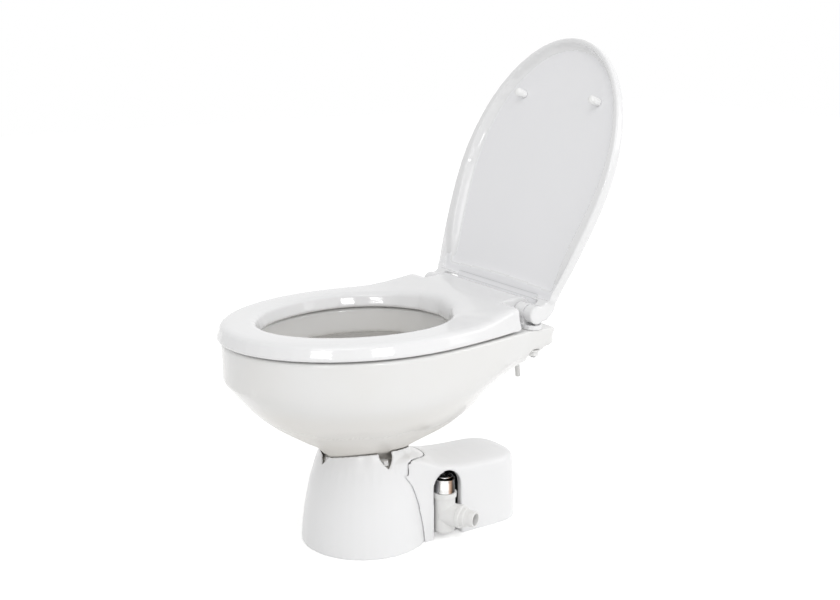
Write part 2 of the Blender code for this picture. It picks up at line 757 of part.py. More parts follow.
def bowl_bolt(x, y):
    """Bolt with a flanged hex head in the bowl's pocket, screwed down into the pedestal's shelf."""
    seat = FOOT_Z + FOOT_THICKNESS + GAP
    bolt = rod(HEAD_FLANGE_RADIUS, (x, y, seat), (x, y, seat + HEAD_FLANGE))
    shelf_bottom = FOOT_Z - GAP - SHELF_THICKNESS
    fuse(bolt, rod(HEX_HEAD_RADIUS, (x, y, seat + HEAD_FLANGE / 2), (x, y, seat + HEX_HEAD_HEIGHT), 6))
    return fuse(bolt, rod(BOWL_BOLT_RADIUS, (x, y, shelf_bottom - BOWL_BOLT_END),
                          (x, y, seat + HEAD_FLANGE / 2)))


def make_bowl_fixings(root):
    copies(bowl_bolt_places(), "bowl_bolt", "grey_plastic", root, bowl_bolt)


# Rinse water inlet


def rinse_point(height):
    """Point on the leaning axis of the rinse inlet."""
    lean = math.tan(math.radians(RINSE_LEAN_DEGREES))
    return Vector((RINSE_X, RINSE_Y + (RINSE_SEAT_Z - height) * lean, height))


def make_rinse_inlet(root):
    """Thin hose tail with a plug that pushes up into the deck."""
    way = (rinse_point(RIM_HEIGHT) - rinse_point(RINSE_SEAT_Z)).normalized()
    seat = rinse_point(RINSE_SEAT_Z) - way * GAP
    reach = (rinse_point(RINSE_END_Z) - seat).length
    profile = [(RINSE_BORE_RADIUS, -reach), (RINSE_TUBE_RADIUS, -reach), (RINSE_TUBE_RADIUS, -RINSE_FLANGE),
               (RINSE_FLANGE_RADIUS, -RINSE_FLANGE), (RINSE_FLANGE_RADIUS, 0), (RINSE_PLUG_RADIUS, 0),
               (RINSE_PLUG_RADIUS, RINSE_PLUG_LENGTH), (RINSE_BORE_RADIUS, RINSE_PLUG_LENGTH)]
    settle(turned(profile, seat, way, SMALL_STEPS), "rinse_inlet_tail", "clear_plastic", root)


# Seat

# Distance from the outer edge as a share of the outer rounding, and height above the bottom or below the top
SEAT_ROUND_SHARES = ((0.22, 1.0), (0.32, 0.45), (0.62, 0.10), (1.0, 0.0))


def seat_top(y):
    return SEAT_TOP + SEAT_RISE * smooth((y - SEAT_RISE_START) / (SEAT_RISE_END - SEAT_RISE_START))


def seat_outline():
    return mirrored(oval_side(SEAT_HALF_WIDTH, SEAT_FRONT, SEAT_SIDE_END, SEAT_REAR_HALF_WIDTH,
                              SEAT_REAR, SEAT_CORNER))


def seat_hole(outline):
    return oval_points(outline, SEAT_HOLE_HALF_WIDTH, SEAT_HOLE_FRONT, SEAT_HOLE_REAR)


def make_seat(seat_carrier):
    outline = seat_outline()
    hole = seat_hole(outline)
    rings = [at_height(inset(outline, hole, SEAT_FOOT_ROUNDING), SEAT_BOTTOM),
             at_height(outline, SEAT_BOTTOM + SEAT_FOOT_ROUNDING)]
    for share, fall in SEAT_ROUND_SHARES:
        ring = inset(outline, hole, SEAT_ROUNDING * share)
        rings.append([(x, y, seat_top(y) - SEAT_EDGE_FALL * fall) for x, y in ring])
    for share, fall in reversed(SEAT_ROUND_SHARES):
        ring = inset(hole, outline, SEAT_INNER_ROUNDING * share)
        rings.append([(x, y, seat_top(y) - SEAT_EDGE_FALL * fall) for x, y in ring])
    rings.append(at_height(hole, SEAT_BOTTOM + SEAT_FOOT_ROUNDING))
    rings.append(at_height(inset(hole, outline, SEAT_FOOT_ROUNDING), SEAT_BOTTOM))
    seat = loft(rings, around=True)

    web = [(SEAT_WEB_START, SEAT_BOTTOM + SEAT_FOOT_ROUNDING)]
    web += arc((HINGE_Y, HINGE_Z), SEAT_ROLL_RADIUS, -90, 90, SMALL_STEPS)
    for share in (0.22, 0.5, 0.75):
        y = HINGE_Y + (SEAT_WEB_START - HINGE_Y) * share
        web.append((y, seat_top(y) - GAP * share))
    web.append((SEAT_WEB_START, seat_top(SEAT_WEB_START) - SEAT_FOOT_ROUNDING))
    fuse(seat, prism(web, -SEAT_ROLL_HALF_LENGTH, SEAT_ROLL_HALF_LENGTH, along_x))
    for side in (1, -1):
        inner = (side * (SEAT_ROLL_HALF_LENGTH - PIN_DEPTH - GAP), HINGE_Y, HINGE_Z)
        outer = (side * (SEAT_ROLL_HALF_LENGTH + OVERRUN), HINGE_Y, HINGE_Z)
        cut(seat, rod(PIN_RADIUS + GAP, inner, outer))
    for x, y in buffer_places():
        cut(seat, rod(BUFFER_STEM_RADIUS + GAP, (x, y, SEAT_BOTTOM - OVERRUN),
                      (x, y, SEAT_BOTTOM + BUFFER_STEM_LENGTH + GAP)))
    settle(seat, "seat", "seat_plastic", seat_carrier)


BUFFER_ANGLES = (38, 142, 218, 322)


def buffer_places():
    """Four places in the middle of the seat's ring, two in front and two behind."""
    places = []
    for degrees in BUFFER_ANGLES:
        angle = math.radians(degrees)
        width = (SEAT_HALF_WIDTH + SEAT_HOLE_HALF_WIDTH) / 2
        reach = (SEAT_FRONT + SEAT_HOLE_FRONT) / 2
        if math.sin(angle) > 0:
            reach = (SEAT_REAR + SEAT_HOLE_REAR) / 2
        places.append((width * math.cos(angle), reach * math.sin(angle)))
    return places


def seat_buffer(x, y):
    low = RIM_HEIGHT + GAP
    profile = [(0, low), (BUFFER_RADIUS, low), (BUFFER_RADIUS, SEAT_BOTTOM - GAP),
               (BUFFER_STEM_RADIUS, SEAT_BOTTOM - GAP),
               (BUFFER_STEM_RADIUS, SEAT_BOTTOM + BUFFER_STEM_LENGTH),
               (0, SEAT_BOTTOM + BUFFER_STEM_LENGTH)]
    return turned(profile, (x, y, 0), steps=SMALL_STEPS)


def make_seat_buffers(seat_carrier):
    copies(buffer_places(), "seat_buffer", "pale_rubber", seat_carrier, seat_buffer)


# Lid

# Distance from the outer edge as a share of the outer rounding, and fall below the panel's edge
LID_ROUND_SHARES = ((0.0, 1.0), (0.13, 0.42), (0.42, 0.08), (1.0, 0.0))
LID_CROWN_SHARES = ((0.62, 0.45), (0.30, 0.88))


def lid_outline():
    return mirrored(oval_side(LID_HALF_WIDTH, LID_FRONT, LID_SIDE_END, LID_REAR_HALF_WIDTH,
                              LID_REAR, LID_CORNER))


def opened(shape):
    """Turn a piece from the shut lid to the open lid about the hinge axis."""
    pivot = Matrix.Translation((0, HINGE_Y, HINGE_Z))
    turn = Matrix.Rotation(-math.radians(LID_OPEN_DEGREES), 4, "X")
    shape.data.transform(pivot @ turn @ pivot.inverted())
    return shape


def shrunk(ring, share):
    """Ring drawn in towards the middle of the lid."""
    middle = (LID_REAR - LID_FRONT) / 2
    return [(x * share, middle + (y - middle) * share) for x, y in ring]


def border_ring(ring):
    """Ring on the lid's flat border, which stays clear of the seat's raised rear."""
    low = LID_RIM_Z + LID_BORDER_EDGE / 2
    return [(x, y, max(low, seat_top(y) + LID_SEAT_CLEARANCE)) for x, y in ring]


def tapered_inset(ring, guide, front, rear):
    """Ring moved in by a width that grows from the front of the lid to its rear."""
    near = inset(ring, guide, front)
    far = inset(ring, guide, rear)
    shares = [smooth((y + LID_FRONT) / (LID_FRONT + LID_REAR)) for x, y in ring]
    return [(a[0] + (b[0] - a[0]) * share, a[1] + (b[1] - a[1]) * share)
            for a, b, share in zip(near, far, shares)]


def make_lid(lid_carrier):
    outline = lid_outline()
    guide = oval_points(outline, OPENING_HALF_WIDTH, OPENING_FRONT, OPENING_REAR)
    edge_top = LID_RIM_Z + LID_DEPTH
    outside = [at_height(inset(outline, guide, LID_WALL / 2), LID_RIM_Z),
               at_height(outline, LID_RIM_Z + LID_WALL / 2)]
    for share, fall in LID_ROUND_SHARES:
        outside.append(at_height(inset(outline, guide, LID_ROUNDING * share),
                                 edge_top - LID_EDGE_FALL * fall))
    last = inset(outline, guide, LID_ROUNDING)
    for share, rise in LID_CROWN_SHARES:
        outside.append(at_height(shrunk(last, share), edge_top + LID_CROWN * rise))
    wall = inset(outline, guide, LID_WALL)
    panel_z = edge_top - LID_PANEL
    inside = [at_height(wall, LID_RIM_Z)]
    inside.append(border_ring(inset(wall, guide, LID_BORDER_EDGE)))
    inner = tapered_inset(wall, guide, LID_BORDER_FRONT, LID_BORDER_REAR)
    inside.append(border_ring(inner))
    inside.append([(x, y, z + (panel_z - z) * 0.55) for x, y, z in
                   border_ring(inset(inner, guide, LID_BORDER_FILLET * 0.3))])
    last = inset(inner, guide, LID_BORDER_FILLET)
    inside.append(at_height(last, panel_z))
    for share, rise in LID_CROWN_SHARES:
        inside.append(at_height(shrunk(last, share), edge_top - LID_PANEL + LID_CROWN * rise))
    lid = loft(inside[::-1] + outside)

    for side in (1, -1):
        fuse(lid, lid_arm(side))
    clear = SEAT_ROLL_HALF_LENGTH + LID_CUTAWAY_GAP
    cut(lid, block((-clear, LID_REAR - LID_WALL * 3, LID_RIM_Z - OVERRUN),
                   (clear, LID_REAR + OVERRUN, edge_top - LID_PANEL - GAP)))
    fuse(lid, block((-clear, LID_REAR - LID_ROUNDING, edge_top - LID_PANEL + GAP / 2),
                    (clear, LID_REAR + LID_FLANGE, edge_top - GAP)))
    for side in (1, -1):
        inner = (side * knuckle_start(), HINGE_Y, HINGE_Z)
        outer = (side * (knuckle_start() + KNUCKLE_LENGTH + OVERRUN), HINGE_Y, HINGE_Z)
        start = (side * (knuckle_start() - OVERRUN), HINGE_Y, HINGE_Z)
        end = Vector(outer) - Vector((side * (OVERRUN + LID_PANEL / 2), 0, 0))
        cut(lid, rod(PIN_RADIUS + GAP, start, end))
    settle(opened(lid), "lid", "seat_plastic", lid_carrier)


def knuckle_start():
    return BARREL_START + BARREL_LENGTH + KNUCKLE_GAP


def lid_arm(side):
    """Arm from the rear corner of the lid to its knuckle, with the heel that stops the open lid."""
    top = LID_RIM_Z + LID_DEPTH
    outline = [(ARM_FRONT, LID_RIM_Z + LID_WALL)]
    outline += arc((HINGE_Y, HINGE_Z), KNUCKLE_RADIUS, 175, 430, SMALL_STEPS)
    outline += [(HINGE_Y + HEEL_BACK, HINGE_Z + HEEL_HEIGHT),
                (HINGE_Y - HEEL_BACK * 2, top - HEEL_BACK / 2),
                (HINGE_Y - HEEL_BACK * 4, top), (ARM_FRONT, top)]
    start = side * knuckle_start()
    return prism(outline, start, start + side * KNUCKLE_LENGTH, along_x)


def make_lid_buffers(lid_carrier):
    panel_z = LID_RIM_Z + LID_DEPTH - LID_PANEL
    low = SEAT_TOP + GAP
    profile = [(0, low), (LID_BUFFER_RADIUS * 0.75, low), (LID_BUFFER_RADIUS, low + RIM_EDGE),
               (LID_BUFFER_RADIUS, panel_z - GAP), (0, panel_z - GAP)]
    for side, name in ((1, "left"), (-1, "right")):
        pad = turned(profile, (side * LID_BUFFER_X, LID_BUFFER_Y, 0), steps=SMALL_STEPS)
        settle(opened(pad), "lid_buffer_" + name, "pale_rubber", lid_carrier)


# Hinges


def make_hinge_post(side, name, root):
    """Fixed barrel on an oblong foot, with the stop that the open lid's heel rests on."""
    def x(value):
        return side * value
    low = RIM_HEIGHT + GAP
    top = low + POST_PLATE_THICKNESS
    post = rod(BARREL_RADIUS, (x(BARREL_START), HINGE_Y, HINGE_Z),
               (x(BARREL_START + BARREL_LENGTH), HINGE_Y, HINGE_Z), HIDDEN_STEPS)
    neck = block((min(x(BARREL_START), x(BARREL_START + BARREL_LENGTH)),
                  HINGE_Y - POST_NECK_HALF_DEPTH, low),
                 (max(x(BARREL_START), x(BARREL_START + BARREL_LENGTH)), HINGE_Y + POST_NECK_HALF_DEPTH,
                  HINGE_Z - BARREL_RADIUS / 2))
    centre_x = POST_PLATE_END - POST_PLATE_HALF_DEPTH
    outline = arc((centre_x, HINGE_Y), POST_PLATE_HALF_DEPTH, -90, 90, SMALL_STEPS // 2)
    outline += [(BARREL_START, HINGE_Y + POST_PLATE_HALF_DEPTH),
                (BARREL_START, HINGE_Y - POST_PLATE_HALF_DEPTH)]
    plate = prism([(x(u), v) for u, v in outline], low, top, along_z)
    heel_z = HINGE_Z - heel_drop() - GAP * 2
    stop_low = min(x(knuckle_start()), x(centre_x))
    stop_high = max(x(knuckle_start()), x(centre_x))
    stop = block((stop_low, STOP_START, low), (stop_high, STOP_END, heel_z))
    fuse(post, neck, plate, stop)
    cut(post, rod(PIN_RADIUS + GAP, (x(BARREL_START - OVERRUN), HINGE_Y, HINGE_Z),
                  (x(BARREL_START + BARREL_LENGTH + OVERRUN), HINGE_Y, HINGE_Z)))
    bolt_x = x(HINGE_BOLT_X)
    cut(post, rod(HINGE_BOLT_RADIUS + GAP, (bolt_x, HINGE_Y, low - OVERRUN),
                  (bolt_x, HINGE_Y, top + OVERRUN)))
    cut(post, rod(HINGE_HEAD_RADIUS + GAP, (bolt_x, HINGE_Y, top - HINGE_HEAD_HEIGHT - GAP),
                  (bolt_x, HINGE_Y, top + OVERRUN)))
    settle(post, name, "seat_plastic", root)


def heel_drop():
    """How far the heel's corner hangs below the hinge axis when the lid is open."""
    turn = Matrix.Rotation(-math.radians(LID_OPEN_DEGREES), 4, "X")
    return -(turn @ Vector((0, HEEL_BACK, HEEL_HEIGHT))).z


def make_hinge_pin(side, name, root):
    start = side * (SEAT_ROLL_HALF_LENGTH - PIN_DEPTH)
    end = side * (knuckle_start() + KNUCKLE_LENGTH - LID_PANEL / 2 - GAP)
    settle(rod(PIN_RADIUS, (start, HINGE_Y, HINGE_Z), (end, HINGE_Y, HINGE_Z)), name, "steel", root)


def make_hinge_fixings(side, name, root):
    """Countersunk bolt through the post and the deck, and its flanged nut below."""
    x = side * HINGE_BOLT_X
    head_top = RIM_HEIGHT + POST_PLATE_THICKNESS
    nut_top = HINGE_SPOT_Z - GAP
    nut_bottom = nut_top - HINGE_NUT_HEIGHT
    head = rod(HINGE_HEAD_RADIUS, (x, HINGE_Y, head_top - HINGE_HEAD_HEIGHT), (x, HINGE_Y, head_top))
    shank = rod(HINGE_BOLT_RADIUS, (x, HINGE_Y, nut_bottom - BOLT_END),
                (x, HINGE_Y, head_top - HINGE_HEAD_HEIGHT / 2))
    settle(fuse(head, shank), "hinge_bolt_" + name, "steel", root)
    nut = rod(HINGE_NUT_FLANGE_RADIUS, (x, HINGE_Y, nut_top - HINGE_NUT_FLANGE), (x, HINGE_Y, nut_top))
    fuse(nut, rod(HINGE_NUT_RADIUS, (x, HINGE_Y, nut_bottom), (x, HINGE_Y, nut_top - HINGE_NUT_FLANGE / 2),
                  6))
    cut(nut, rod(HINGE_BOLT_RADIUS + GAP, (x, HINGE_Y, nut_bottom - OVERRUN),
                 (x, HINGE_Y, nut_top + OVERRUN)))
    settle(nut, "hinge_nut_" + name, "grey_plastic", root)


# Pedestal, neck and motor cover

# Height as a share of the pedestal's height, radius as a share of its foot radius
PEDESTAL_SHARES = ((0.0, 1.0), (0.144, 0.985), (0.300, 0.955), (0.456, 0.910), (0.606, 0.864),
                   (0.706, 0.814), (0.812, 0.764), (0.894, 0.714), (1.0, 0.643))


def pedestal_radius(height):
    """Outer radius of the pedestal at a height."""
    share = min(max(height / PEDESTAL_HEIGHT, 0.0), 1.0)
    for (low, wide), (high, narrow) in zip(PEDESTAL_SHARES, PEDESTAL_SHARES[1:]):
        if share <= high:
            return PEDESTAL_FOOT_RADIUS * (wide + (narrow - wide) * (share - low) / (high - low))
    return PEDESTAL_FOOT_RADIUS * PEDESTAL_SHARES[-1][1]


def pedestal_wall(offset, heights):
    return [(pedestal_radius(height) + offset, height) for height in heights]


def pedestal_envelope(grow):
    """Solid of the pedestal's outside, grown, for cutting what meets it."""
    heights = [PEDESTAL_HEIGHT * share for share, radius in PEDESTAL_SHARES]
    profile = [(0, -OVERRUN), (PEDESTAL_FOOT_RADIUS + grow, -OVERRUN)]
    profile += pedestal_wall(grow, heights) + [(0, PEDESTAL_HEIGHT)]
    return turned(profile, (0, PEDESTAL_AXIS_Y, 0))


def bowl_envelope():
    """Solid of the bowl's underside, grown by the seam, for cutting what the bowl sinks into."""
    rings = bowl_outside(SEAM)
    outline = rim_outline()
    foot_top = FOOT_Z + FOOT_THICKNESS
    waist = oval_points(outline, RIM_HALF_WIDTH * BOWL_WAIST_SHARES[0], RIM_FRONT * BOWL_WAIST_SHARES[1],
                        DECK_REAR * BOWL_WAIST_SHARES[2])
    return loft(rings + [at_height(waist, foot_top)])


def cover_top(y):
    """Height of the cover's upper edge: low over the motor, rising to the neck."""
    fall = max(0.0, (y - COVER_RISE_Y) / COVER_RISE_LENGTH)
    return COVER_TOP_LOW + COVER_TOP_RISE * math.exp(-COVER_RISE_DECAY * fall)


COVER_STATION_SHARES = (0.0, 0.16, 0.32, 0.45, 0.58, 0.70, 0.85, 1.0)
COVER_END_SHARES = (0.22, 0.42, 0.60, 0.74, 0.85, 0.93, 0.98, 0.997)
COVER_WALL_SHARES = (0.0, 0.4, 0.8, 1.0)
COVER_END_POWER = 2.4


def cover_section(y, width_share, end_share):
    """Points of one cross-section, from the near foot over the top to the far foot."""
    middle = (COVER_NEAR_X + COVER_FAR_X) / 2
    half = (COVER_NEAR_X - COVER_FAR_X) / 2
    height = cover_top(y)
    if end_share > 0:
        height -= COVER_EDGE * (1 - math.sqrt(max(0.0, 1 - end_share ** 6)))
    edge = min(COVER_EDGE, half * width_share)

    def point(side, z, inward):
        reach = (half - COVER_DRAFT * z / COVER_DRAFT_HEIGHT) * width_share - inward
        lean = COVER_REAR_DRAFT * z / COVER_DRAFT_HEIGHT * end_share
        return (middle + side * reach, y - lean, z)

    near = [point(1, (height - edge) * share, 0) for share in COVER_WALL_SHARES]
    for degrees in (30, 60, 90):
        angle = math.radians(degrees)
        near.append(point(1, height - edge + edge * math.sin(angle), edge * (1 - math.cos(angle))))
    flat = (half - COVER_DRAFT) * width_share - edge
    crown = COVER_CROWN * width_share * (1 - end_share ** 2)
    near.append((middle + flat / 2, near[-1][1], height + crown * 0.75))
    centre = [(middle, near[-2][1], height + crown)]
    far = [(2 * middle - x, py, z) for x, py, z in reversed(near)]
    return near + centre + far


def cover_sheet():
    """Outer sheet of cover and neck, open at the front and below, given its wall thickness inwards."""
    stations = []
    for share in COVER_STATION_SHARES:
        stations.append(cover_section(COVER_START_Y + (COVER_END_CENTRE_Y - COVER_START_Y) * share, 1.0,
                                      0.0))
    for share in COVER_END_SHARES:
        y = COVER_END_CENTRE_Y + (COVER_REAR_Y - COVER_END_CENTRE_Y) * share
        width = (1 - share ** COVER_END_POWER) ** (1 / COVER_END_POWER)
        stations.append(cover_section(y, width, share))
    data = bmesh.new()
    rows = [[data.verts.new(point) for point in row] for row in stations]
    for low, high in zip(rows, rows[1:]):
        for i in range(len(low) - 1):
            data.faces.new((low[i], high[i], high[i + 1], low[i + 1]))
    data.faces.new(rows[-1])
    sheet = shape_from(data)
    if sum(face.normal.z * face.area for face in sheet.data.polygons) < 0:
        sheet.data.flip_normals()
    wall = sheet.modifiers.new("wall", "SOLIDIFY")
    wall.thickness = COVER_WALL
    wall.offset = -1
    wall.use_even_offset = True
    graph = bpy.context.evaluated_depsgraph_get()
    sheet.data = bpy.data.meshes.new_from_object(sheet.evaluated_get(graph))
    sheet.modifiers.clear()
    return sheet


def neck_block(grow):
    """Upright oval block that parts the neck from the cover."""
    ring = [((NECK_HALF_WIDTH + grow) * math.cos(a), (NECK_REAR + grow) * math.sin(a))
            for a in (math.tau * i / CIRCLE_STEPS for i in range(CIRCLE_STEPS))]
    return loft([at_height(ring, NECK_SEAM_Z - grow), at_height(ring, PEDESTAL_HEIGHT + OVERRUN)])


def notch(angle):
    """Pointed notch in the pedestal's upper edge, which gives a spanner room at a bowl bolt."""
    top = PEDESTAL_HEIGHT + OVERRUN
    outline = [(-NOTCH_HALF_WIDTH, top), (-NOTCH_HALF_WIDTH, NOTCH_SHOULDER_Z),
               (-NOTCH_HALF_WIDTH * 0.62, (NOTCH_SHOULDER_Z + NOTCH_TIP_Z) / 2), (0, NOTCH_TIP_Z),
               (NOTCH_HALF_WIDTH * 0.62, (NOTCH_SHOULDER_Z + NOTCH_TIP_Z) / 2),
               (NOTCH_HALF_WIDTH, NOTCH_SHOULDER_Z), (NOTCH_HALF_WIDTH, top)]

    def place(u, v, w):
        return (u * math.cos(angle) + w * math.sin(angle),
                PEDESTAL_AXIS_Y + u * math.sin(angle) - w * math.cos(angle), v)
    return prism(outline, SHELF_HOLE_RADIUS + NOTCH_HALF_WIDTH, PEDESTAL_FOOT_RADIUS, place)


def make_pedestal(root):
    wall_heights = [PEDESTAL_HEIGHT * share for share, radius in PEDESTAL_SHARES]
    shelf_top = FOOT_Z - GAP
    shelf_bottom = shelf_top - SHELF_THICKNESS
    inner = [height for height in wall_heights if height > FOOT_FLANGE_HEIGHT]
    above = [height for height in inner if height > shelf_top]
    below = [height for height in inner if height < shelf_bottom]
    profile = pedestal_wall(0, wall_heights)
    profile += pedestal_wall(-PEDESTAL_WALL, above[::-1] + [shelf_top])
    profile += [(SHELF_HOLE_RADIUS, shelf_top), (SHELF_HOLE_RADIUS, shelf_bottom)]
    profile += pedestal_wall(-PEDESTAL_WALL, [shelf_bottom] + below[::-1] + [FOOT_FLANGE_HEIGHT])
    profile += [(FOOT_FLANGE_INNER, FOOT_FLANGE_HEIGHT), (FOOT_FLANGE_INNER, 0)]
    pedestal = turned(profile, (0, PEDESTAL_AXIS_Y, 0), steps=CIRCLE_STEPS)

    neck = keep(cover_sheet(), neck_block(0))
    cut(neck, pedestal_envelope(-PEDESTAL_WALL / 2))
    fuse(pedestal, neck)
    cut(pedestal, bowl_envelope())
    for i in range(4):
        cut(pedestal, notch(math.pi / 2 * i))
    for x, y in bowl_bolt_places():
        cut(pedestal, rod(BOWL_BOLT_RADIUS + GAP, (x, y, shelf_bottom - OVERRUN),
                          (x, y, shelf_top + OVERRUN)))
    door = arc((SHAFT_X, SHAFT_Z), PUMP_DOOR_RADIUS, 0, 180, SMALL_STEPS)
    door += [(SHAFT_X - PUMP_DOOR_RADIUS, -OVERRUN), (SHAFT_X + PUMP_DOOR_RADIUS, -OVERRUN)]
    cut(pedestal, prism(door, SHAFT_X, PEDESTAL_FOOT_RADIUS, lambda u, v, w: (u, w, v)))
    hole_ring = (FOOT_FLANGE_INNER + PEDESTAL_FOOT_RADIUS - PEDESTAL_WALL) / 2
    for degrees in (45, -45, 135, -135):
        angle = math.radians(degrees)
        x, y = hole_ring * math.sin(angle), PEDESTAL_AXIS_Y - hole_ring * math.cos(angle)
        cut(pedestal, rod(FLOOR_HOLE_RADIUS, (x, y, -OVERRUN), (x, y, FOOT_FLANGE_HEIGHT + OVERRUN)))
    settle(pedestal, "pedestal", "casing_plastic", root)


def below_floor():
    """Block under the floor, which trims the cover's foot level."""
    reach = COVER_REAR_Y + PEDESTAL_FOOT_RADIUS
    return block((-reach, -reach, -reach), (reach, reach, 0))


def arch_outline(grow):
    """Outline of the arch in the cover's near wall, from foot over crown to foot."""
    radius = ARCH_HALF_WIDTH + grow
    crown = ARCH_TOP - ARCH_HALF_WIDTH
    outline = arc((ARCH_CENTRE_Y, crown), radius, 0, 180, SMALL_STEPS)
    return outline + [(ARCH_CENTRE_Y - radius, 0), (ARCH_CENTRE_Y + radius, 0)]


def far_screw_place():
    """Outer face of the cover's far wall at the screw's height."""
    draft = COVER_DRAFT * COVER_SCREW_Z / COVER_DRAFT_HEIGHT
    return COVER_FAR_X + draft


def rear_screw_place():
    """Outer face of the cover's rear end at the screw's height."""
    return COVER_REAR_Y - COVER_REAR_DRAFT * COVER_SCREW_Z / COVER_DRAFT_HEIGHT


def make_cover(root):
    cover = cover_sheet()
    frame = prism(arch_outline(ARCH_LIP), COVER_NEAR_X - COVER_DRAFT - ARCH_LIP_DEPTH,
                  COVER_NEAR_X - COVER_DRAFT - COVER_WALL / 2, along_x)
    fuse(cover, frame)
    opening = [(y, z if z > 0 else -OVERRUN) for y, z in arch_outline(0)]
    cut(cover, prism(opening, COVER_NEAR_X - COVER_DRAFT - ARCH_LIP_DEPTH - OVERRUN,
                     COVER_NEAR_X + OVERRUN, along_x))
    cut(cover, pedestal_envelope(SEAM), neck_block(SEAM), below_floor())
    middle = (COVER_NEAR_X + COVER_FAR_X) / 2
    hole = COVER_SCREW_RADIUS + GAP
    cut(cover, rod(hole, (far_screw_place() - OVERRUN, COVER_SCREW_Y, COVER_SCREW_Z),
                   (far_screw_place() + OVERRUN, COVER_SCREW_Y, COVER_SCREW_Z)))
    cut(cover, rod(hole, (middle, rear_screw_place() - OVERRUN, COVER_SCREW_Z),
                   (middle, rear_screw_place() + OVERRUN, COVER_SCREW_Z)))
    settle(cover, "motor_cover", "casing_plastic", root)


def make_cover_screws(root):
    middle = (COVER_NEAR_X + COVER_FAR_X) / 2
    for name, place, way in (("side", (far_screw_place(), COVER_SCREW_Y, COVER_SCREW_Z), Vector((1, 0, 0))),
                             ("rear", (middle, rear_screw_place(), COVER_SCREW_Z), Vector((0, -1, 0)))):
        face = Vector(place) - way * GAP * 2
        head = rod(COVER_SCREW_HEAD, face - way * COVER_SCREW_HEAD_HEIGHT, face)
        shank = rod(COVER_SCREW_RADIUS, face - way * COVER_SCREW_HEAD_HEIGHT / 2,
                    face + way * COVER_SCREW_LENGTH)
        settle(fuse(head, shank), "cover_screw_" + name, "steel", root)


# Pump bed


def make_bed(root):
    """Bed plate with a motor saddle, a pump cradle, screw bosses for the cover and a lead socket."""
    half = BED_TONGUE
    bed = block((SHAFT_X - half, BED_FRONT, 0), (SHAFT_X + half, SADDLE_START + OVERRUN, BED_THICKNESS))
    fuse(bed, block((BED_FAR_X, BED_WIDE_START, 0), (BED_NEAR_X, BED_WIDE_END, BED_THICKNESS)))
    fuse(bed, block((SHAFT_X - BED_TAIL, SADDLE_END, 0), (SHAFT_X + BED_TAIL, BED_REAR, BED_THICKNESS)))
    cut(bed, rod(ELBOW_FLANGE_RADIUS + SEAM, (PORT_X, PORT_Y, -OVERRUN),
                 (PORT_X, PORT_Y, BED_THICKNESS + OVERRUN),
                 HIDDEN_STEPS))
    fuse(bed, block((BED_FAR_X, SADDLE_START, BED_THICKNESS / 2), (BED_NEAR_X, SADDLE_END, SADDLE_TOP)))
    fuse(bed, block((SHAFT_X - half, CRADLE_Y - CRADLE_DEPTH / 2, BED_THICKNESS / 2),
                    (SHAFT_X + half, CRADLE_Y + CRADLE_DEPTH / 2, SADDLE_TOP)))
    far_face = far_screw_place() + COVER_WALL + RUNNING_GAP
    fuse(bed, block((far_face, COVER_SCREW_Y - BOSS_HALF_WIDTH, 0),
                    (far_face + BOSS_HALF_WIDTH * 2, COVER_SCREW_Y + BOSS_HALF_WIDTH, BOSS_HEIGHT)))
    middle = (COVER_NEAR_X + COVER_FAR_X) / 2
    rear_face = rear_screw_place() - COVER_WALL - RUNNING_GAP
    fuse(bed, block((middle - BOSS_HALF_WIDTH, BED_REAR - BOSS_HALF_WIDTH * 3, 0),
                    (middle + BOSS_HALF_WIDTH, rear_face, BOSS_HEIGHT)))
    socket_top = BED_THICKNESS + SOCKET_HEIGHT
    fuse(bed, block((LEAD_END_X - BOSS_HALF_WIDTH, LEAD_END_Y - BOSS_HALF_WIDTH, BED_THICKNESS / 2),
                    (LEAD_END_X + BOSS_HALF_WIDTH, LEAD_END_Y + LEAD_SPACING + BOSS_HALF_WIDTH,
                     socket_top)))
    for offset in (0, LEAD_SPACING):
        y = LEAD_END_Y + offset
        cut(bed, rod(LEAD_RADIUS + GAP, (LEAD_END_X, y, BED_THICKNESS),
                     (LEAD_END_X, y, socket_top + OVERRUN)))
    cut(bed, rod(MOTOR_RADIUS + GAP, on_shaft(SADDLE_START - OVERRUN), on_shaft(SADDLE_END + OVERRUN),
                 HIDDEN_STEPS))
    cut(bed, rod(CHAMBER_RADIUS + GAP, on_shaft(CRADLE_Y - CRADLE_DEPTH), on_shaft(CRADLE_Y + CRADLE_DEPTH),
                 HIDDEN_STEPS))
    hole = COVER_SCREW_RADIUS + GAP
    depth = COVER_SCREW_LENGTH + GAP
    cut(bed, rod(hole, (far_screw_place(), COVER_SCREW_Y, COVER_SCREW_Z),
                 (far_screw_place() + depth, COVER_SCREW_Y, COVER_SCREW_Z)))
    cut(bed, rod(hole, (middle, rear_screw_place(), COVER_SCREW_Z),
                 (middle, rear_screw_place() - depth, COVER_SCREW_Z)))
    for x, y in strap_screw_places():
        cut(bed, rod(STRAP_SCREW_RADIUS + GAP, (x, y, SADDLE_TOP - STRAP_SCREW_DEPTH - GAP),
                     (x, y, SADDLE_TOP + OVERRUN)))
    for x in (BED_FAR_X + BOSS_HALF_WIDTH, BED_NEAR_X - BOSS_HALF_WIDTH):
        y = SADDLE_END + BOSS_HALF_WIDTH * 2
        cut(bed, rod(FLOOR_HOLE_RADIUS, (x, y, -OVERRUN), (x, y, BED_THICKNESS + OVERRUN)))
    settle(bed, "pump_bed", "casing_plastic", root)


def strap_screw_places():
    reach = MOTOR_RADIUS + STRAP_THICKNESS + STRAP_EAR / 2
    return [(SHAFT_X + side * reach, (SADDLE_START + SADDLE_END) / 2) for side in (1, -1)]


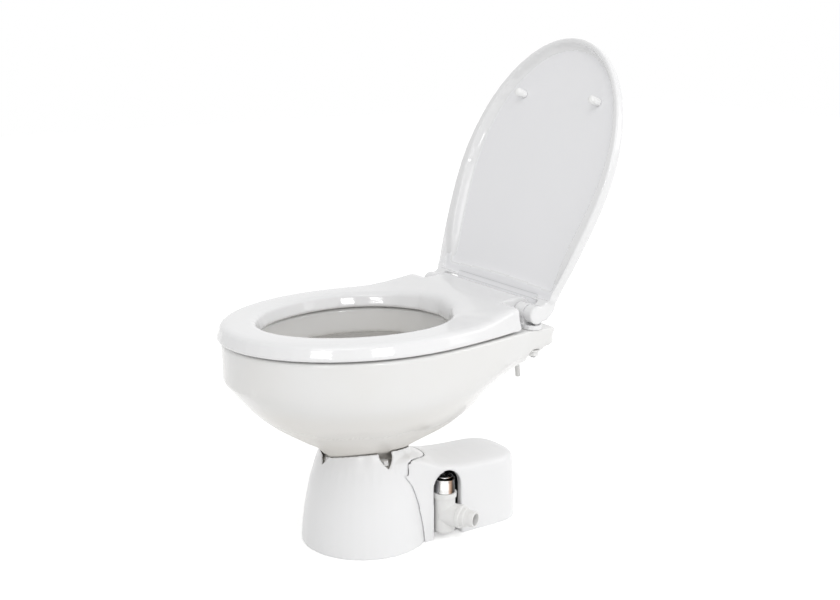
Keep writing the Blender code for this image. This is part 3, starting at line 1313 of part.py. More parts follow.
def make_strap(root):
    """Steel band that holds the motor down in its saddle, with its two screws."""
    inner = MOTOR_RADIUS + GAP
    outer = inner + STRAP_THICKNESS
    ear_z = SADDLE_TOP + GAP
    ear_top = ear_z + STRAP_THICKNESS
    low_angle = math.degrees(math.asin((SHAFT_Z - ear_z) / inner))
    high_angle = math.degrees(math.asin((SHAFT_Z - ear_top) / outer))
    outline = [(outer + STRAP_EAR, ear_z - SHAFT_Z), (outer + STRAP_EAR, ear_top - SHAFT_Z)]
    outline += arc((0, 0), outer, -high_angle, 180 + high_angle, STRAP_STEPS)
    outline += [(-outer - STRAP_EAR, ear_top - SHAFT_Z), (-outer - STRAP_EAR, ear_z - SHAFT_Z)]
    outline += arc((0, 0), inner, 180 + low_angle, -low_angle, STRAP_STEPS)
    y = (SADDLE_START + SADDLE_END) / 2
    strap = prism(outline, y - STRAP_HALF_WIDTH, y + STRAP_HALF_WIDTH,
                  lambda u, v, w: (SHAFT_X + u, w, SHAFT_Z + v))
    for x, y in strap_screw_places():
        cut(strap, rod(STRAP_SCREW_RADIUS + GAP, (x, y, ear_z - OVERRUN), (x, y, ear_top + OVERRUN)))
    settle(strap, "motor_strap", "steel", root)
    copies(strap_screw_places(), "strap_screw", "steel", root, strap_screw)


def strap_screw(x, y):
    low = SADDLE_TOP + STRAP_THICKNESS + GAP * 2
    head = rod(STRAP_SCREW_HEAD, (x, y, low), (x, y, low + STRAP_SCREW_HEAD_HEIGHT))
    return fuse(head, rod(STRAP_SCREW_RADIUS, (x, y, SADDLE_TOP - STRAP_SCREW_DEPTH),
                          (x, y, low + STRAP_SCREW_HEAD_HEIGHT / 2)))


# Pump


def on_shaft(y):
    return Vector((SHAFT_X, y, SHAFT_Z))


def shaft_turned(profile, steps=HIDDEN_STEPS):
    """Turned piece on the shaft line; heights of the outline are places along Y."""
    return turned(profile, on_shaft(0), (0, 1, 0), steps)


def make_waste_chamber(root):
    """Chamber under the bowl's outlet, open to the cutter and the pump behind it."""
    inner = CHAMBER_RADIUS - CHAMBER_WALL
    plate_seat = PUMP_SPLIT_Y - CUTTER_PLATE - GAP
    profile = [(0, CHAMBER_FRONT), (inner, CHAMBER_FRONT), (CHAMBER_RADIUS, CHAMBER_FRONT + CHAMBER_WALL),
               (CHAMBER_RADIUS, PUMP_SPLIT_Y - PUMP_FLANGE),
               (PUMP_FLANGE_RADIUS, PUMP_SPLIT_Y - PUMP_FLANGE),
               (PUMP_FLANGE_RADIUS, PUMP_SPLIT_Y), (CUTTER_PLATE_RADIUS + GAP, PUMP_SPLIT_Y),
               (CUTTER_PLATE_RADIUS + GAP, plate_seat), (inner, plate_seat),
               (inner, CHAMBER_FRONT + CHAMBER_WALL * 2), (inner - CHAMBER_WALL,
                                                           CHAMBER_FRONT + CHAMBER_WALL),
               (0, CHAMBER_FRONT + CHAMBER_WALL)]
    chamber = shaft_turned(profile)
    top = FOOT_Z - GAP * 2 - OUTLET_SEAL_HEIGHT
    neck = rod(NECK_TUBE_RADIUS, (0, PEDESTAL_AXIS_Y, SHAFT_Z - CHAMBER_WALL / 2),
               (0, PEDESTAL_AXIS_Y, top),
               HIDDEN_STEPS)
    bore = rod(OUTLET_RADIUS, (0, PEDESTAL_AXIS_Y, SHAFT_Z + CHAMBER_WALL),
               (0, PEDESTAL_AXIS_Y, top + OVERRUN),
               HIDDEN_STEPS)
    inside = rod(inner, on_shaft(CHAMBER_FRONT + CHAMBER_WALL * 2), on_shaft(PUMP_SPLIT_Y - PUMP_FLANGE),
                 HIDDEN_STEPS)
    cut(neck, inside)
    fuse(chamber, neck)
    cut(chamber, bore)
    for x, z in pump_screw_places():
        cut(chamber, rod(PUMP_SCREW_RADIUS + GAP, (x, PUMP_SPLIT_Y - PUMP_FLANGE - OVERRUN, z),
                         (x, PUMP_SPLIT_Y + OVERRUN, z)))
    settle(chamber, "waste_chamber", "casing_plastic", root)
    seal = pipe(OUTLET_RADIUS, NECK_TUBE_RADIUS, (0, PEDESTAL_AXIS_Y, FOOT_Z - GAP - OUTLET_SEAL_HEIGHT),
                (0, PEDESTAL_AXIS_Y, FOOT_Z - GAP), HIDDEN_STEPS)
    settle(seal, "outlet_seal", "rubber", root)


def pump_screw_places():
    """Two screws across the pump's flange, as X and Z."""
    angles = [math.radians(PUMP_SCREW_DEGREES + turn) for turn in (0, 180)]
    return [(SHAFT_X + PUMP_SCREW_CIRCLE * math.cos(a),
             SHAFT_Z + PUMP_SCREW_CIRCLE * math.sin(a)) for a in angles]


def pump_screw(x, z):
    low = PUMP_SPLIT_Y - PUMP_FLANGE - GAP
    high = PUMP_SPLIT_Y + GAP + PUMP_FLANGE
    head = rod(PUMP_SCREW_RADIUS * 1.6, (x, low - PUMP_SCREW_HEAD, z), (x, low, z), 6)
    return fuse(head, rod(PUMP_SCREW_RADIUS, (x, low - PUMP_SCREW_HEAD / 2, z), (x, high, z)))


def make_pump(root, rotor):
    split = PUMP_SPLIT_Y + GAP
    inner = CHAMBER_RADIUS - CHAMBER_WALL
    seal_bore = SEAL_RADIUS + GAP
    back = PUMP_REAR_Y - PUMP_BACK_WALL
    profile = [(inner, split), (PUMP_FLANGE_RADIUS, split), (PUMP_FLANGE_RADIUS, split + PUMP_FLANGE),
               (PUMP_BODY_RADIUS, split + PUMP_FLANGE), (PUMP_BODY_RADIUS, PUMP_REAR_Y),
               (seal_bore, PUMP_REAR_Y),
               (seal_bore, back), (inner, back)]
    pump = shaft_turned(profile)
    duct = block((SHAFT_X + SEAL_RADIUS * 2, PORT_Y - DUCT_HALF_WIDTH, DUCT_BOTTOM),
                 (PORT_X + SPIGOT_RADIUS / 2, PORT_Y + DUCT_HALF_WIDTH, DUCT_TOP))
    duct_end = rod(DUCT_HALF_WIDTH, (PORT_X, PORT_Y, DUCT_BOTTOM), (PORT_X, PORT_Y, DUCT_TOP), HIDDEN_STEPS)
    collar = rod(COLLAR_RADIUS, (PORT_X, PORT_Y, ELBOW_TOP_Z + GAP),
                 (PORT_X, PORT_Y, DUCT_BOTTOM + COLLAR_RADIUS - DUCT_HALF_WIDTH), HIDDEN_STEPS)
    spigot = rod(SPIGOT_RADIUS, (PORT_X, PORT_Y, SPIGOT_END_Z), (PORT_X, PORT_Y, DUCT_BOTTOM), HIDDEN_STEPS)
    hollow = rod(inner, on_shaft(split - OVERRUN), on_shaft(back), HIDDEN_STEPS)
    cut(duct, hollow)
    fuse(pump, duct, duct_end, collar, spigot)
    bore_z = (DUCT_BOTTOM + DUCT_TOP) / 2
    cut(pump, rod(DUCT_BORE_RADIUS, (SHAFT_X + SEAL_RADIUS, PORT_Y - WELD, bore_z),
                  (PORT_X, PORT_Y - WELD, bore_z)))
    cut(pump, rod(SPIGOT_BORE_RADIUS, (PORT_X, PORT_Y, SPIGOT_END_Z - OVERRUN),
                  (PORT_X, PORT_Y, bore_z + DUCT_BORE_RADIUS / 2)))
    for x, z in pump_screw_places():
        cut(pump, rod(PUMP_SCREW_RADIUS + GAP, (x, split - OVERRUN, z),
                      (x, split + PUMP_FLANGE + OVERRUN, z)))
    settle(pump, "pump_housing", "casing_plastic", root)

    copies(pump_screw_places(), "pump_screw", "steel", root, pump_screw)

    plate_end = PUMP_SPLIT_Y
    plate = pipe(SHAFT_RADIUS + RUNNING_GAP, CUTTER_PLATE_RADIUS, on_shaft(plate_end - CUTTER_PLATE),
                 on_shaft(plate_end), HIDDEN_STEPS)
    for i in range(6):
        angle = math.tau * i / 6
        x = SHAFT_X + CUTTER_HOLE_CIRCLE * math.cos(angle)
        z = SHAFT_Z + CUTTER_HOLE_CIRCLE * math.sin(angle)
        cut(plate, rod(CUTTER_HOLE_RADIUS, (x, plate_end - CUTTER_PLATE - OVERRUN, z),
                       (x, plate_end + OVERRUN, z), 8))
    settle(plate, "cutter_plate", "steel", root)

    blade_end = plate_end - CUTTER_PLATE - BLADE_GAP
    blade_start = blade_end - BLADE_THICKNESS
    hub = rod(BLADE_HUB_RADIUS, on_shaft(blade_start), on_shaft(blade_end))
    bar = prism([(-BLADE_HALF_LENGTH, -BLADE_HALF_WIDTH), (BLADE_HALF_LENGTH, -BLADE_HALF_WIDTH / 2),
                 (BLADE_HALF_LENGTH, BLADE_HALF_WIDTH), (-BLADE_HALF_LENGTH, BLADE_HALF_WIDTH / 2)],
                blade_start, blade_end, lambda u, v, w: (SHAFT_X + u, w, SHAFT_Z + v))
    fuse(hub, bar)
    cut(hub, rod(SHAFT_RADIUS + GAP, on_shaft(blade_start - OVERRUN), on_shaft(blade_end + OVERRUN)))
    settle(hub, "macerator_blade", "steel", rotor)
    nut_end = blade_start - GAP
    nut = rod(NUT_RADIUS, on_shaft(nut_end - NUT_HEIGHT), on_shaft(nut_end), 6)
    cut(nut, rod(SHAFT_RADIUS + GAP, on_shaft(nut_end - NUT_HEIGHT - OVERRUN), on_shaft(nut_end + OVERRUN)))
    settle(nut, "blade_nut", "steel", rotor)

    disc_end = back - BLADE_GAP
    disc_start = disc_end - IMPELLER_DISC
    impeller = rod(IMPELLER_RADIUS, on_shaft(disc_start), on_shaft(disc_end), HIDDEN_STEPS)
    fuse(impeller, rod(BLADE_HUB_RADIUS, on_shaft(disc_start - IMPELLER_VANE), on_shaft(disc_end - GAP)))
    for i in range(5):
        angle = math.tau * i / 5
        vane = block((BLADE_HUB_RADIUS / 2, 0, -IMPELLER_VANE_THICKNESS / 2),
                     (IMPELLER_RADIUS - GAP, IMPELLER_VANE + GAP, IMPELLER_VANE_THICKNESS / 2))
        vane.data.transform(Matrix.Translation((SHAFT_X, disc_start - IMPELLER_VANE, SHAFT_Z))
                            @ Matrix.Rotation(angle, 4, "Y"))
        fuse(impeller, vane)
    cut(impeller, rod(SHAFT_RADIUS + GAP, on_shaft(disc_start - IMPELLER_VANE - OVERRUN),
                      on_shaft(disc_end + OVERRUN)))
    settle(impeller, "impeller", "black_plastic", rotor)

    seal = pipe(SHAFT_RADIUS + RUNNING_GAP, SEAL_RADIUS, on_shaft(back + GAP), on_shaft(PUMP_REAR_Y - GAP),
                SMALL_STEPS)
    settle(seal, "shaft_seal", "rubber", root)


# Motor


def motor_start():
    return PUMP_REAR_Y + GAP


def can_start():
    return motor_start() + FRONT_BELL + GAP


def can_end():
    return can_start() + MOTOR_CAN_LENGTH


def rear_bell_start():
    return can_end() + GAP


def lead_way():
    """Direction in which the leads leave the front bell, up and towards the elbow."""
    angle = math.radians(LEAD_DEGREES)
    return Vector((math.cos(angle), 0, math.sin(angle)))


def lead_start(offset):
    """Point on the front bell's rim where a lead goes in."""
    return on_shaft(motor_start() + FRONT_BELL / 2 + offset - LEAD_SPACING / 2) + lead_way() * BELL_RADIUS


def make_motor(root, rotor):
    seat = BEARING_RADIUS + GAP
    spigot = MOTOR_RADIUS - MOTOR_WALL - GAP
    start = motor_start()
    bell_end = start + FRONT_BELL
    pocket = bell_end - BEARING_WIDTH - GAP
    front = shaft_turned([(SHAFT_RADIUS + RUNNING_GAP, start), (BELL_RADIUS, start),
                          (BELL_RADIUS, bell_end),
                          (spigot, bell_end), (spigot, bell_end + BELL_SPIGOT),
                          (seat, bell_end + BELL_SPIGOT),
                          (seat, pocket), (SHAFT_RADIUS + RUNNING_GAP, pocket)])
    for offset in (0, LEAD_SPACING):
        place = lead_start(offset)
        cut(front, rod(LEAD_RADIUS + GAP, place - lead_way() * LEAD_SPACING,
                       place + lead_way() * LEAD_SPACING, 12))
    rear_start = rear_bell_start()
    rear_end = rear_start + REAR_BELL
    rear_pocket = rear_start + BEARING_WIDTH + GAP * 2
    rear = shaft_turned([(0, rear_end), (BELL_RADIUS - MOTOR_WALL, rear_end),
                         (BELL_RADIUS, rear_end - MOTOR_WALL),
                         (BELL_RADIUS, rear_start), (spigot, rear_start),
                         (spigot, rear_start - BELL_SPIGOT),
                         (seat, rear_start - BELL_SPIGOT), (seat, rear_pocket), (0, rear_pocket)])
    settle(front, "motor_front_bell", "cast_alloy", root)
    settle(rear, "motor_rear_bell", "cast_alloy", root)
    can = pipe(MOTOR_RADIUS - MOTOR_WALL, MOTOR_RADIUS, on_shaft(can_start()), on_shaft(can_end()),
               HIDDEN_STEPS)
    settle(can, "motor_can", "black_steel", root)
    for name, low in (("front_bearing", pocket + GAP), ("rear_bearing", rear_start + GAP)):
        ring = pipe(SHAFT_RADIUS + GAP, BEARING_RADIUS, on_shaft(low), on_shaft(low + BEARING_WIDTH),
                    SMALL_STEPS)
        settle(ring, name, "steel", root)
    magnet_start = ARMATURE_START - (MAGNET_LENGTH - ARMATURE_LENGTH) / 2
    magnet = pipe(spigot - MAGNET_THICKNESS, spigot, on_shaft(magnet_start),
                  on_shaft(magnet_start + MAGNET_LENGTH),
                  HIDDEN_STEPS)
    settle(magnet, "motor_magnet_ring", "ferrite", root)
    settle(rod(SHAFT_RADIUS, on_shaft(SHAFT_START), on_shaft(rear_pocket - GAP)), "motor_shaft", "steel",
           rotor)
    make_armature(rotor)
    commutator = pipe(SHAFT_RADIUS + GAP, COMMUTATOR_RADIUS, on_shaft(COMMUTATOR_START),
                      on_shaft(COMMUTATOR_START + COMMUTATOR_LENGTH), SMALL_STEPS + CORNER_STEPS)
    settle(commutator, "commutator", "copper", rotor)


ARMATURE_SLOTS = 8
TOOTH_SHARES = (0.5 - 0.80, 0.5 - 0.20)
SLOT_SHARES = (0.5 - 0.16, 0.5 + 0.16)


def make_armature(rotor):
    """Slotted core, and one winding with a ring at each end and a bar in each slot."""
    end = ARMATURE_START + ARMATURE_LENGTH
    slot_floor = ARMATURE_RADIUS - SLOT_DEPTH
    corners = [(share, ARMATURE_RADIUS) for share in TOOTH_SHARES]
    corners += [(share, slot_floor) for share in SLOT_SHARES]
    outline = []
    for i in range(ARMATURE_SLOTS):
        for share, radius in corners:
            angle = math.tau * (i + share) / ARMATURE_SLOTS
            outline.append((radius * math.cos(angle), radius * math.sin(angle)))
    core = prism(outline, ARMATURE_START, end, lambda u, v, w: (SHAFT_X + u, w, SHAFT_Z + v))
    cut(core, rod(SHAFT_RADIUS + GAP, on_shaft(ARMATURE_START - OVERRUN), on_shaft(end + OVERRUN)))
    settle(core, "armature_core", "steel", rotor)
    edge = WINDING_LENGTH / 4
    winding = None
    for low in (ARMATURE_START - GAP - WINDING_LENGTH, end + GAP):
        high = low + WINDING_LENGTH
        ring = shaft_turned([(SHAFT_RADIUS + GAP, low), (WINDING_RADIUS - edge, low),
                             (WINDING_RADIUS, low + edge),
                             (WINDING_RADIUS, high - edge), (WINDING_RADIUS - edge, high),
                             (SHAFT_RADIUS + GAP, high)], SMALL_STEPS + CORNER_STEPS)
        winding = fuse(winding, ring) if winding else ring
    for i in range(ARMATURE_SLOTS):
        bar = block((slot_floor + GAP, ARMATURE_START - WINDING_LENGTH / 2, -SLOT_BAR_HALF_WIDTH),
                    (WINDING_RADIUS - GAP, end + WINDING_LENGTH / 2, SLOT_BAR_HALF_WIDTH))
        turn = math.tau * (i + 0.5) / ARMATURE_SLOTS
        bar.data.transform(Matrix.Translation((SHAFT_X, 0, SHAFT_Z)) @ Matrix.Rotation(-turn, 4, "Y"))
        fuse(winding, bar)
    settle(winding, "armature_winding", "copper", rotor)


def make_brush_gear(root, upper, lower):
    """Card with two brush tubes, and in each tube a carbon brush with its spring."""
    middle = COMMUTATOR_START + COMMUTATOR_LENGTH / 2
    brush_start = COMMUTATOR_RADIUS + GAP
    brush_end = brush_start + BRUSH_LENGTH
    tube_start = COMMUTATOR_RADIUS + RUNNING_GAP * 4
    tube_half = BRUSH_HALF_WIDTH + BRUSH_TUBE_WALL + RUNNING_GAP
    card = pipe(COMMUTATOR_RADIUS, MOTOR_RADIUS - MOTOR_WALL - GAP, on_shaft(BRUSH_CARD_Y),
                on_shaft(BRUSH_CARD_Y + BRUSH_CARD), HIDDEN_STEPS)
    for side in (1, -1):
        low, high = sorted((SHAFT_Z + side * tube_start, SHAFT_Z + side * BRUSH_TUBE_END))
        tube = block((SHAFT_X - tube_half, middle - tube_half, low),
                     (SHAFT_X + tube_half, BRUSH_CARD_Y + BRUSH_CARD / 2, high))
        fuse(card, tube)
    for side in (1, -1):
        inner = BRUSH_HALF_WIDTH + RUNNING_GAP
        low, high = sorted((SHAFT_Z + side * (tube_start - OVERRUN),
                            SHAFT_Z + side * (BRUSH_TUBE_END - BRUSH_TUBE_WALL)))
        cut(card, block((SHAFT_X - inner, middle - inner, low), (SHAFT_X + inner, middle + inner, high)))
    settle(card, "brush_card", "black_plastic", root)
    for side, place, holder in ((1, "upper", upper), (-1, "lower", lower)):
        low, high = sorted((SHAFT_Z + side * brush_start, SHAFT_Z + side * brush_end))
        brush = block((SHAFT_X - BRUSH_HALF_WIDTH, middle - BRUSH_HALF_WIDTH, low),
                      (SHAFT_X + BRUSH_HALF_WIDTH, middle + BRUSH_HALF_WIDTH, high))
        settle(brush, "brush_" + place, "carbon", holder)
        spring_start = brush_end + GAP + SPRING_WIRE_RADIUS
        spring_end = BRUSH_TUBE_END - BRUSH_TUBE_WALL - GAP - SPRING_WIRE_RADIUS
        spring = coil_spring(side, middle, spring_start, spring_end)
        settle(spring, "brush_spring_" + place, "steel", root)


SPRING_TURNS = 4
SPRING_STEPS = 8
SPRING_SIDES = 4


def coil_spring(side, y, start, end):
    """Helical spring wound about a line along Z."""
    count = SPRING_TURNS * SPRING_STEPS
    points = []
    for i in range(count + 1):
        angle = math.tau * i / SPRING_STEPS
        height = SHAFT_Z + side * (start + (end - start) * i / count)
        points.append(Vector((SHAFT_X + SPRING_COIL_RADIUS * math.cos(angle),
                              y + SPRING_COIL_RADIUS * math.sin(angle), height)))
    return swept(points, SPRING_WIRE_RADIUS, SPRING_SIDES)


# Leads from the motor down to the socket on the bed




def lead(name, look, offset, root):
    """One insulated lead, from its hole in the front bell down into its socket on the bed."""
    start = lead_start(offset)
    way = lead_way()
    end = Vector((LEAD_END_X, LEAD_END_Y + offset, BED_THICKNESS + SOCKET_HEIGHT))
    down = Vector((0, 0, LEAD_SPACING))
    middle = Vector((LEAD_OUT_X, (start.y + end.y) / 2, LEAD_DROP_Z))
    route = [start - way * LEAD_SPACING * 0.8, start, start + way * LEAD_SPACING, middle, end + down, end,
             end - down]
    points = smooth_route(route, 2)
    drawn = bpy.data.curves.new(name, "CURVE")
    drawn.dimensions = "3D"
    drawn.bevel_depth = LEAD_RADIUS
    drawn.bevel_resolution = 1
    drawn.use_fill_caps = True
    drawn.materials.append(finish(look))
    spline = drawn.splines.new("POLY")
    spline.points.add(len(points) - 1)
    for target, point in zip(spline.points, points):
        target.co = (*point, 1)
    cord = bpy.data.objects.new(name, drawn)
    bpy.context.scene.collection.objects.link(cord)
    cord.parent = root


def smooth_route(route, steps):
    """Points of a curve that runs smoothly through all the points of a route."""
    ends = [route[0] * 2 - route[1]] + route + [route[-1] * 2 - route[-2]]
    points = []
    for a, b, c, d in zip(ends, ends[1:], ends[2:], ends[3:]):
        for i in range(steps):
            t = i / steps
            points.append((b * 2 + (c - a) * t + (a * 2 - b * 5 + c * 4 - d) * t * t
                           + (b * 3 - a - c * 3 + d) * t ** 3) / 2)
    points.append(route[-1])
    return points


def make_wiring(root):
    lead("motor_lead_brown", "brown_wire", 0, root)
    lead("motor_lead_black", "rubber", LEAD_SPACING, root)


# Discharge elbow and hose tail


def tail_way():
    angle = math.radians(TAIL_DEGREES)
    return Vector((math.cos(angle), math.sin(angle), 0))


def make_elbow(elbow_carrier, root):
    """Elbow that hangs on the pump's spigot and swivels about it."""
    foot = ELBOW_RADIUS / 2
    profile = [(0, ELBOW_BOTTOM_Z), (ELBOW_RADIUS * 0.55, ELBOW_BOTTOM_Z + foot * 0.12),
               (ELBOW_RADIUS * 0.85, ELBOW_BOTTOM_Z + foot * 0.45), (ELBOW_RADIUS, ELBOW_BOTTOM_Z + foot),
               (ELBOW_RADIUS, ELBOW_TOP_Z - ELBOW_FLANGE),
               (ELBOW_FLANGE_RADIUS, ELBOW_TOP_Z - ELBOW_FLANGE),
               (ELBOW_FLANGE_RADIUS, ELBOW_TOP_Z), (0, ELBOW_TOP_Z)]
    elbow = turned(profile, (PORT_X, PORT_Y, 0))
    centre = Vector((PORT_X, PORT_Y, BRANCH_Z))
    way = tail_way()
    branch_end = centre + way * BRANCH_END
    fuse(elbow, rod(BRANCH_RADIUS, centre, branch_end, CIRCLE_STEPS))
    floor = BRANCH_Z - BRANCH_BORE_RADIUS
    cut(elbow, rod(ELBOW_BORE_RADIUS, (PORT_X, PORT_Y, floor), (PORT_X, PORT_Y, ELBOW_TOP_Z + OVERRUN),
                   CIRCLE_STEPS))
    cut(elbow, rod(BRANCH_BORE_RADIUS + TAIL_BARB, centre, branch_end + way * OVERRUN, CIRCLE_STEPS))
    settle(elbow, "discharge_elbow", "grey_plastic", elbow_carrier)

    plug = TAIL_BORE_RADIUS + (BRANCH_BORE_RADIUS - TAIL_BORE_RADIUS) * 0.75
    start = BRANCH_END - TAIL_PLUG_DEPTH
    shoulder = BRANCH_END + GAP
    barb_length = (TAIL_END - TAIL_STEP_END) / 2
    profile = [(TAIL_BORE_RADIUS, start), (plug, start), (plug, shoulder), (TAIL_COLLAR_RADIUS, shoulder),
               (TAIL_COLLAR_RADIUS, TAIL_COLLAR_END), (TAIL_STEP_RADIUS, TAIL_COLLAR_END),
               (TAIL_STEP_RADIUS, TAIL_STEP_END), (TAIL_RADIUS, TAIL_STEP_END),
               (TAIL_RADIUS + TAIL_BARB, TAIL_STEP_END + GAP), (TAIL_RADIUS, TAIL_STEP_END + barb_length),
               (TAIL_RADIUS + TAIL_BARB, TAIL_STEP_END + barb_length + GAP), (TAIL_RADIUS, TAIL_END),
               (TAIL_BORE_RADIUS, TAIL_END)]
    settle(turned(profile, centre, way), "hose_tail", "grey_plastic", elbow_carrier)
    port_ring = o_ring(SPIGOT_RADIUS, ELBOW_BORE_RADIUS,
                       Vector((PORT_X, PORT_Y, ELBOW_TOP_Z - ELBOW_FLANGE / 2)),
                       Vector((0, 0, 1)))
    settle(port_ring, "port_o_ring", "rubber", root)


def o_ring(inner, outer, place, way):
    """Rubber ring that fills the gap between a spigot and its bore."""
    low, high = inner + GAP / 2, outer - GAP / 2
    middle = (low + high) / 2
    profile = [(low, 0), (middle, -O_RING_RADIUS), (high, 0), (middle, O_RING_RADIUS)]
    return turned(profile, place, way)


def centre_on_floor(root):
    """Move the whole object so that the middle of its box, on the floor, is the origin."""
    bpy.context.view_layer.update()
    corners = [obj.matrix_world @ vertex.co for obj in bpy.data.objects if obj.type == "MESH"
               for vertex in obj.data.vertices]
    low = [min(corner[i] for corner in corners) for i in range(3)]
    high = [max(corner[i] for corner in corners) for i in range(3)]
    root.location = (-(low[0] + high[0]) / 2, -(low[1] + high[1]) / 2, -low[2])
    bpy.context.view_layer.update()


def main():
    clear_scene()
    root = carrier("toilet", (0, 0, 0))
    seat_carrier = carrier("seat_axis", (0, HINGE_Y, HINGE_Z), root)
    lid_carrier = carrier("lid_axis", (0, HINGE_Y, HINGE_Z), root)
    rotor = carrier("rotor_axis", (SHAFT_X, 0, SHAFT_Z), root)
    elbow_carrier = carrier("elbow_axis", (PORT_X, PORT_Y, BRANCH_Z), root)
    upper = carrier("upper_brush_axis", (SHAFT_X, COMMUTATOR_START, SHAFT_Z), root)
    lower = carrier("lower_brush_axis", (SHAFT_X, COMMUTATOR_START, SHAFT_Z), root)

    make_bowl(root)
    make_bowl_fixings(root)
    make_rinse_inlet(root)
    make_seat(seat_carrier)
    make_seat_buffers(seat_carrier)
    make_lid(lid_carrier)
    make_lid_buffers(lid_carrier)
    for side, name in ((1, "left"), (-1, "right")):
        make_hinge_post(side, "hinge_post_" + name, root)
        make_hinge_pin(side, "hinge_pin_" + name, root)
        make_hinge_fixings(side, name, root)
    make_pedestal(root)
    make_cover(root)
    make_cover_screws(root)
    make_bed(root)
    make_strap(root)
    make_waste_chamber(root)
    make_pump(root, rotor)
    make_motor(root, rotor)
    make_brush_gear(root, upper, lower)
    make_wiring(root)
    make_elbow(elbow_carrier, root)
    centre_on_floor(root)


if __name__ == "__main__":
    main()
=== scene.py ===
"""Finishes for a compact marine toilet: glazed bowl, gloss seat and lid, satin casing, pump and motor."""

import json
import math

import bmesh
import bpy
from bpy.props import FloatProperty, FloatVectorProperty, IntProperty, PointerProperty
from mathutils import Matrix, Vector
from mathutils.bvhtree import BVHTree
from mathutils.kdtree import KDTree


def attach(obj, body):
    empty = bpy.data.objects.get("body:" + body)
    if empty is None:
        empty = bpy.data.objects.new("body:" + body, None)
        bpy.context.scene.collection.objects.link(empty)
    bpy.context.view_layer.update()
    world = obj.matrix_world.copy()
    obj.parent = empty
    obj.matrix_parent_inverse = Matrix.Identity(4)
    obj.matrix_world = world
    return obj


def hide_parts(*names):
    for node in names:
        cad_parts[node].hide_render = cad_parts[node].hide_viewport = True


bl_info = {
    "name": "Marine Toilet Finishes",
    "version": (1, 0, 0),
    "blender": (4, 5, 0),
    "location": "View3D > Sidebar > Toilet",
    "description": "Finishes, fine pieces and studio for a compact marine toilet",
    "category": "Object",
}

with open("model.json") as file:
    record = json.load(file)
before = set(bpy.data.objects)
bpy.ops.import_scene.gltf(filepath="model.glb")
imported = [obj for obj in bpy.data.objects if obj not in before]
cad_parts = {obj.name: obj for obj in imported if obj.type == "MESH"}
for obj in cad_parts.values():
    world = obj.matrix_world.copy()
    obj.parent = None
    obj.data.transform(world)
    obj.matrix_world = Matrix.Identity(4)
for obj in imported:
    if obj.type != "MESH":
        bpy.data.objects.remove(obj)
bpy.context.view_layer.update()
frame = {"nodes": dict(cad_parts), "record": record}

MM = 0.001
WELD = 0.00001                            # corners nearer than this are one
SLOTS = {entry["node"]: entry["material_slot"] for entry in frame["record"]["subparts"]}
BODY_OF = {node: body for body, nodes in frame["record"]["behaviour"]["bodies"].items() for node in nodes}

# Places of the solids that the finishes follow
HINGE = Vector((0, 128.489 * MM, 357 * MM))
LID_LEAN = math.radians(22.5)             # how far the open lid leans back
LID_PANEL_DEPTH = 17 * MM                 # the panel lies at least this far behind the hinge's plane
LID_PANEL_FLAT = 0.9                      # how squarely its faces look out of the lid, 1 being exactly
PEDESTAL_Y = -92.1 * MM
SHELF_Z = 60 * MM                         # the pedestal's inner faces that look up lie above this
LIP_RADIUS = 71 * MM                      # the part of the pedestal's top edge that the bowl hides
UPWARD = 0.75                             # a face whose normal rises more than this looks up
INWARD = 0.25                             # a face whose normal points in more than this is an inner wall
PORT = Vector((74 * MM, 9.489 * MM, 0))
PORT_RADIUS = 15.3 * MM
PORT_Z = 74 * MM
BOWL_SHOULDER_Z = (262 * MM, 240 * MM)    # the painted warm reflection of the floor deepens between these heights, and again down to the foot
BOWL_FOOT_Z = 150 * MM
BOWL_GLOSS_Z = (200 * MM, 250 * MM)       # the coat fades between these heights

# How sharp an edge has to be to stay sharp in a smooth-shaded copy, in degrees
CREASE = 35
SOFT_CREASE = 40
BAND_CREASE = 50
ALL_SMOOTH = 180

# How the fine skins are evened out
SHARP = math.radians(32)                  # an edge sharper than this holds the faces near it
MARK_GAP = 2 * MM                         # between the points that mark such an edge
REACH = 14 * MM                           # how far from the edge the faces are held less and less
HELD = 0.3                                # within this share of the reach they are held fully
FLOW = 0.5                                # how strongly each round of smoothing works

# The polished pieces round the port: their inner radius, lower and upper edge, and half of the angle covered
BAND_THICKNESS = 0.6 * MM
BAND_ROLL = 1.6                           # height of a rolled rim, in thicknesses of the sheet
BAND_STEPS = 72
BANDS = {"outlet_band": (15.4 * MM, 75.8 * MM, 97 * MM, 128),
         "outlet_neck": (11.9 * MM, 85.6 * MM, 101.3 * MM, 112)}

# Painted reflections on the polished steel: light and dark stripes from the left to the right of the port, as
# shares of the way round
STRIPE_START, STRIPE_END = math.radians(-135), math.radians(65)
REFLECTION_STRIPES = ((0.0, (0.52, 0.52, 0.54)), (0.20, (0.66, 0.66, 0.69)), (0.30, (0.60, 0.60, 0.62)),
           (0.35, (0.22, 0.21, 0.21)), (0.39, (0.70, 0.69, 0.68)), (0.46, (0.97, 0.97, 0.96)),
           (0.60, (0.93, 0.92, 0.91)), (0.645, (0.58, 0.43, 0.34)), (0.70, (0.30, 0.19, 0.13)),
           (0.76, (0.05, 0.04, 0.035)), (0.88, (0.03, 0.03, 0.03)), (1.0, (0.50, 0.50, 0.51)))

# The studio
FLOOR_SIZE = 6.0                          # half of the floor's width
IMAGE_RIGHT = (0.544, 0.839, 0.0)         # the level direction that is to the right in the picture
CAMERA_ACROSS = Vector((0.54365, 0.83931, 0.00068))
CAMERA_BACK = Vector((0.81587, -0.52866, 0.23426))
SENSOR_WIDTH = 36.0
WHITE = (1.0, 1.0, 1.0, 1.0)

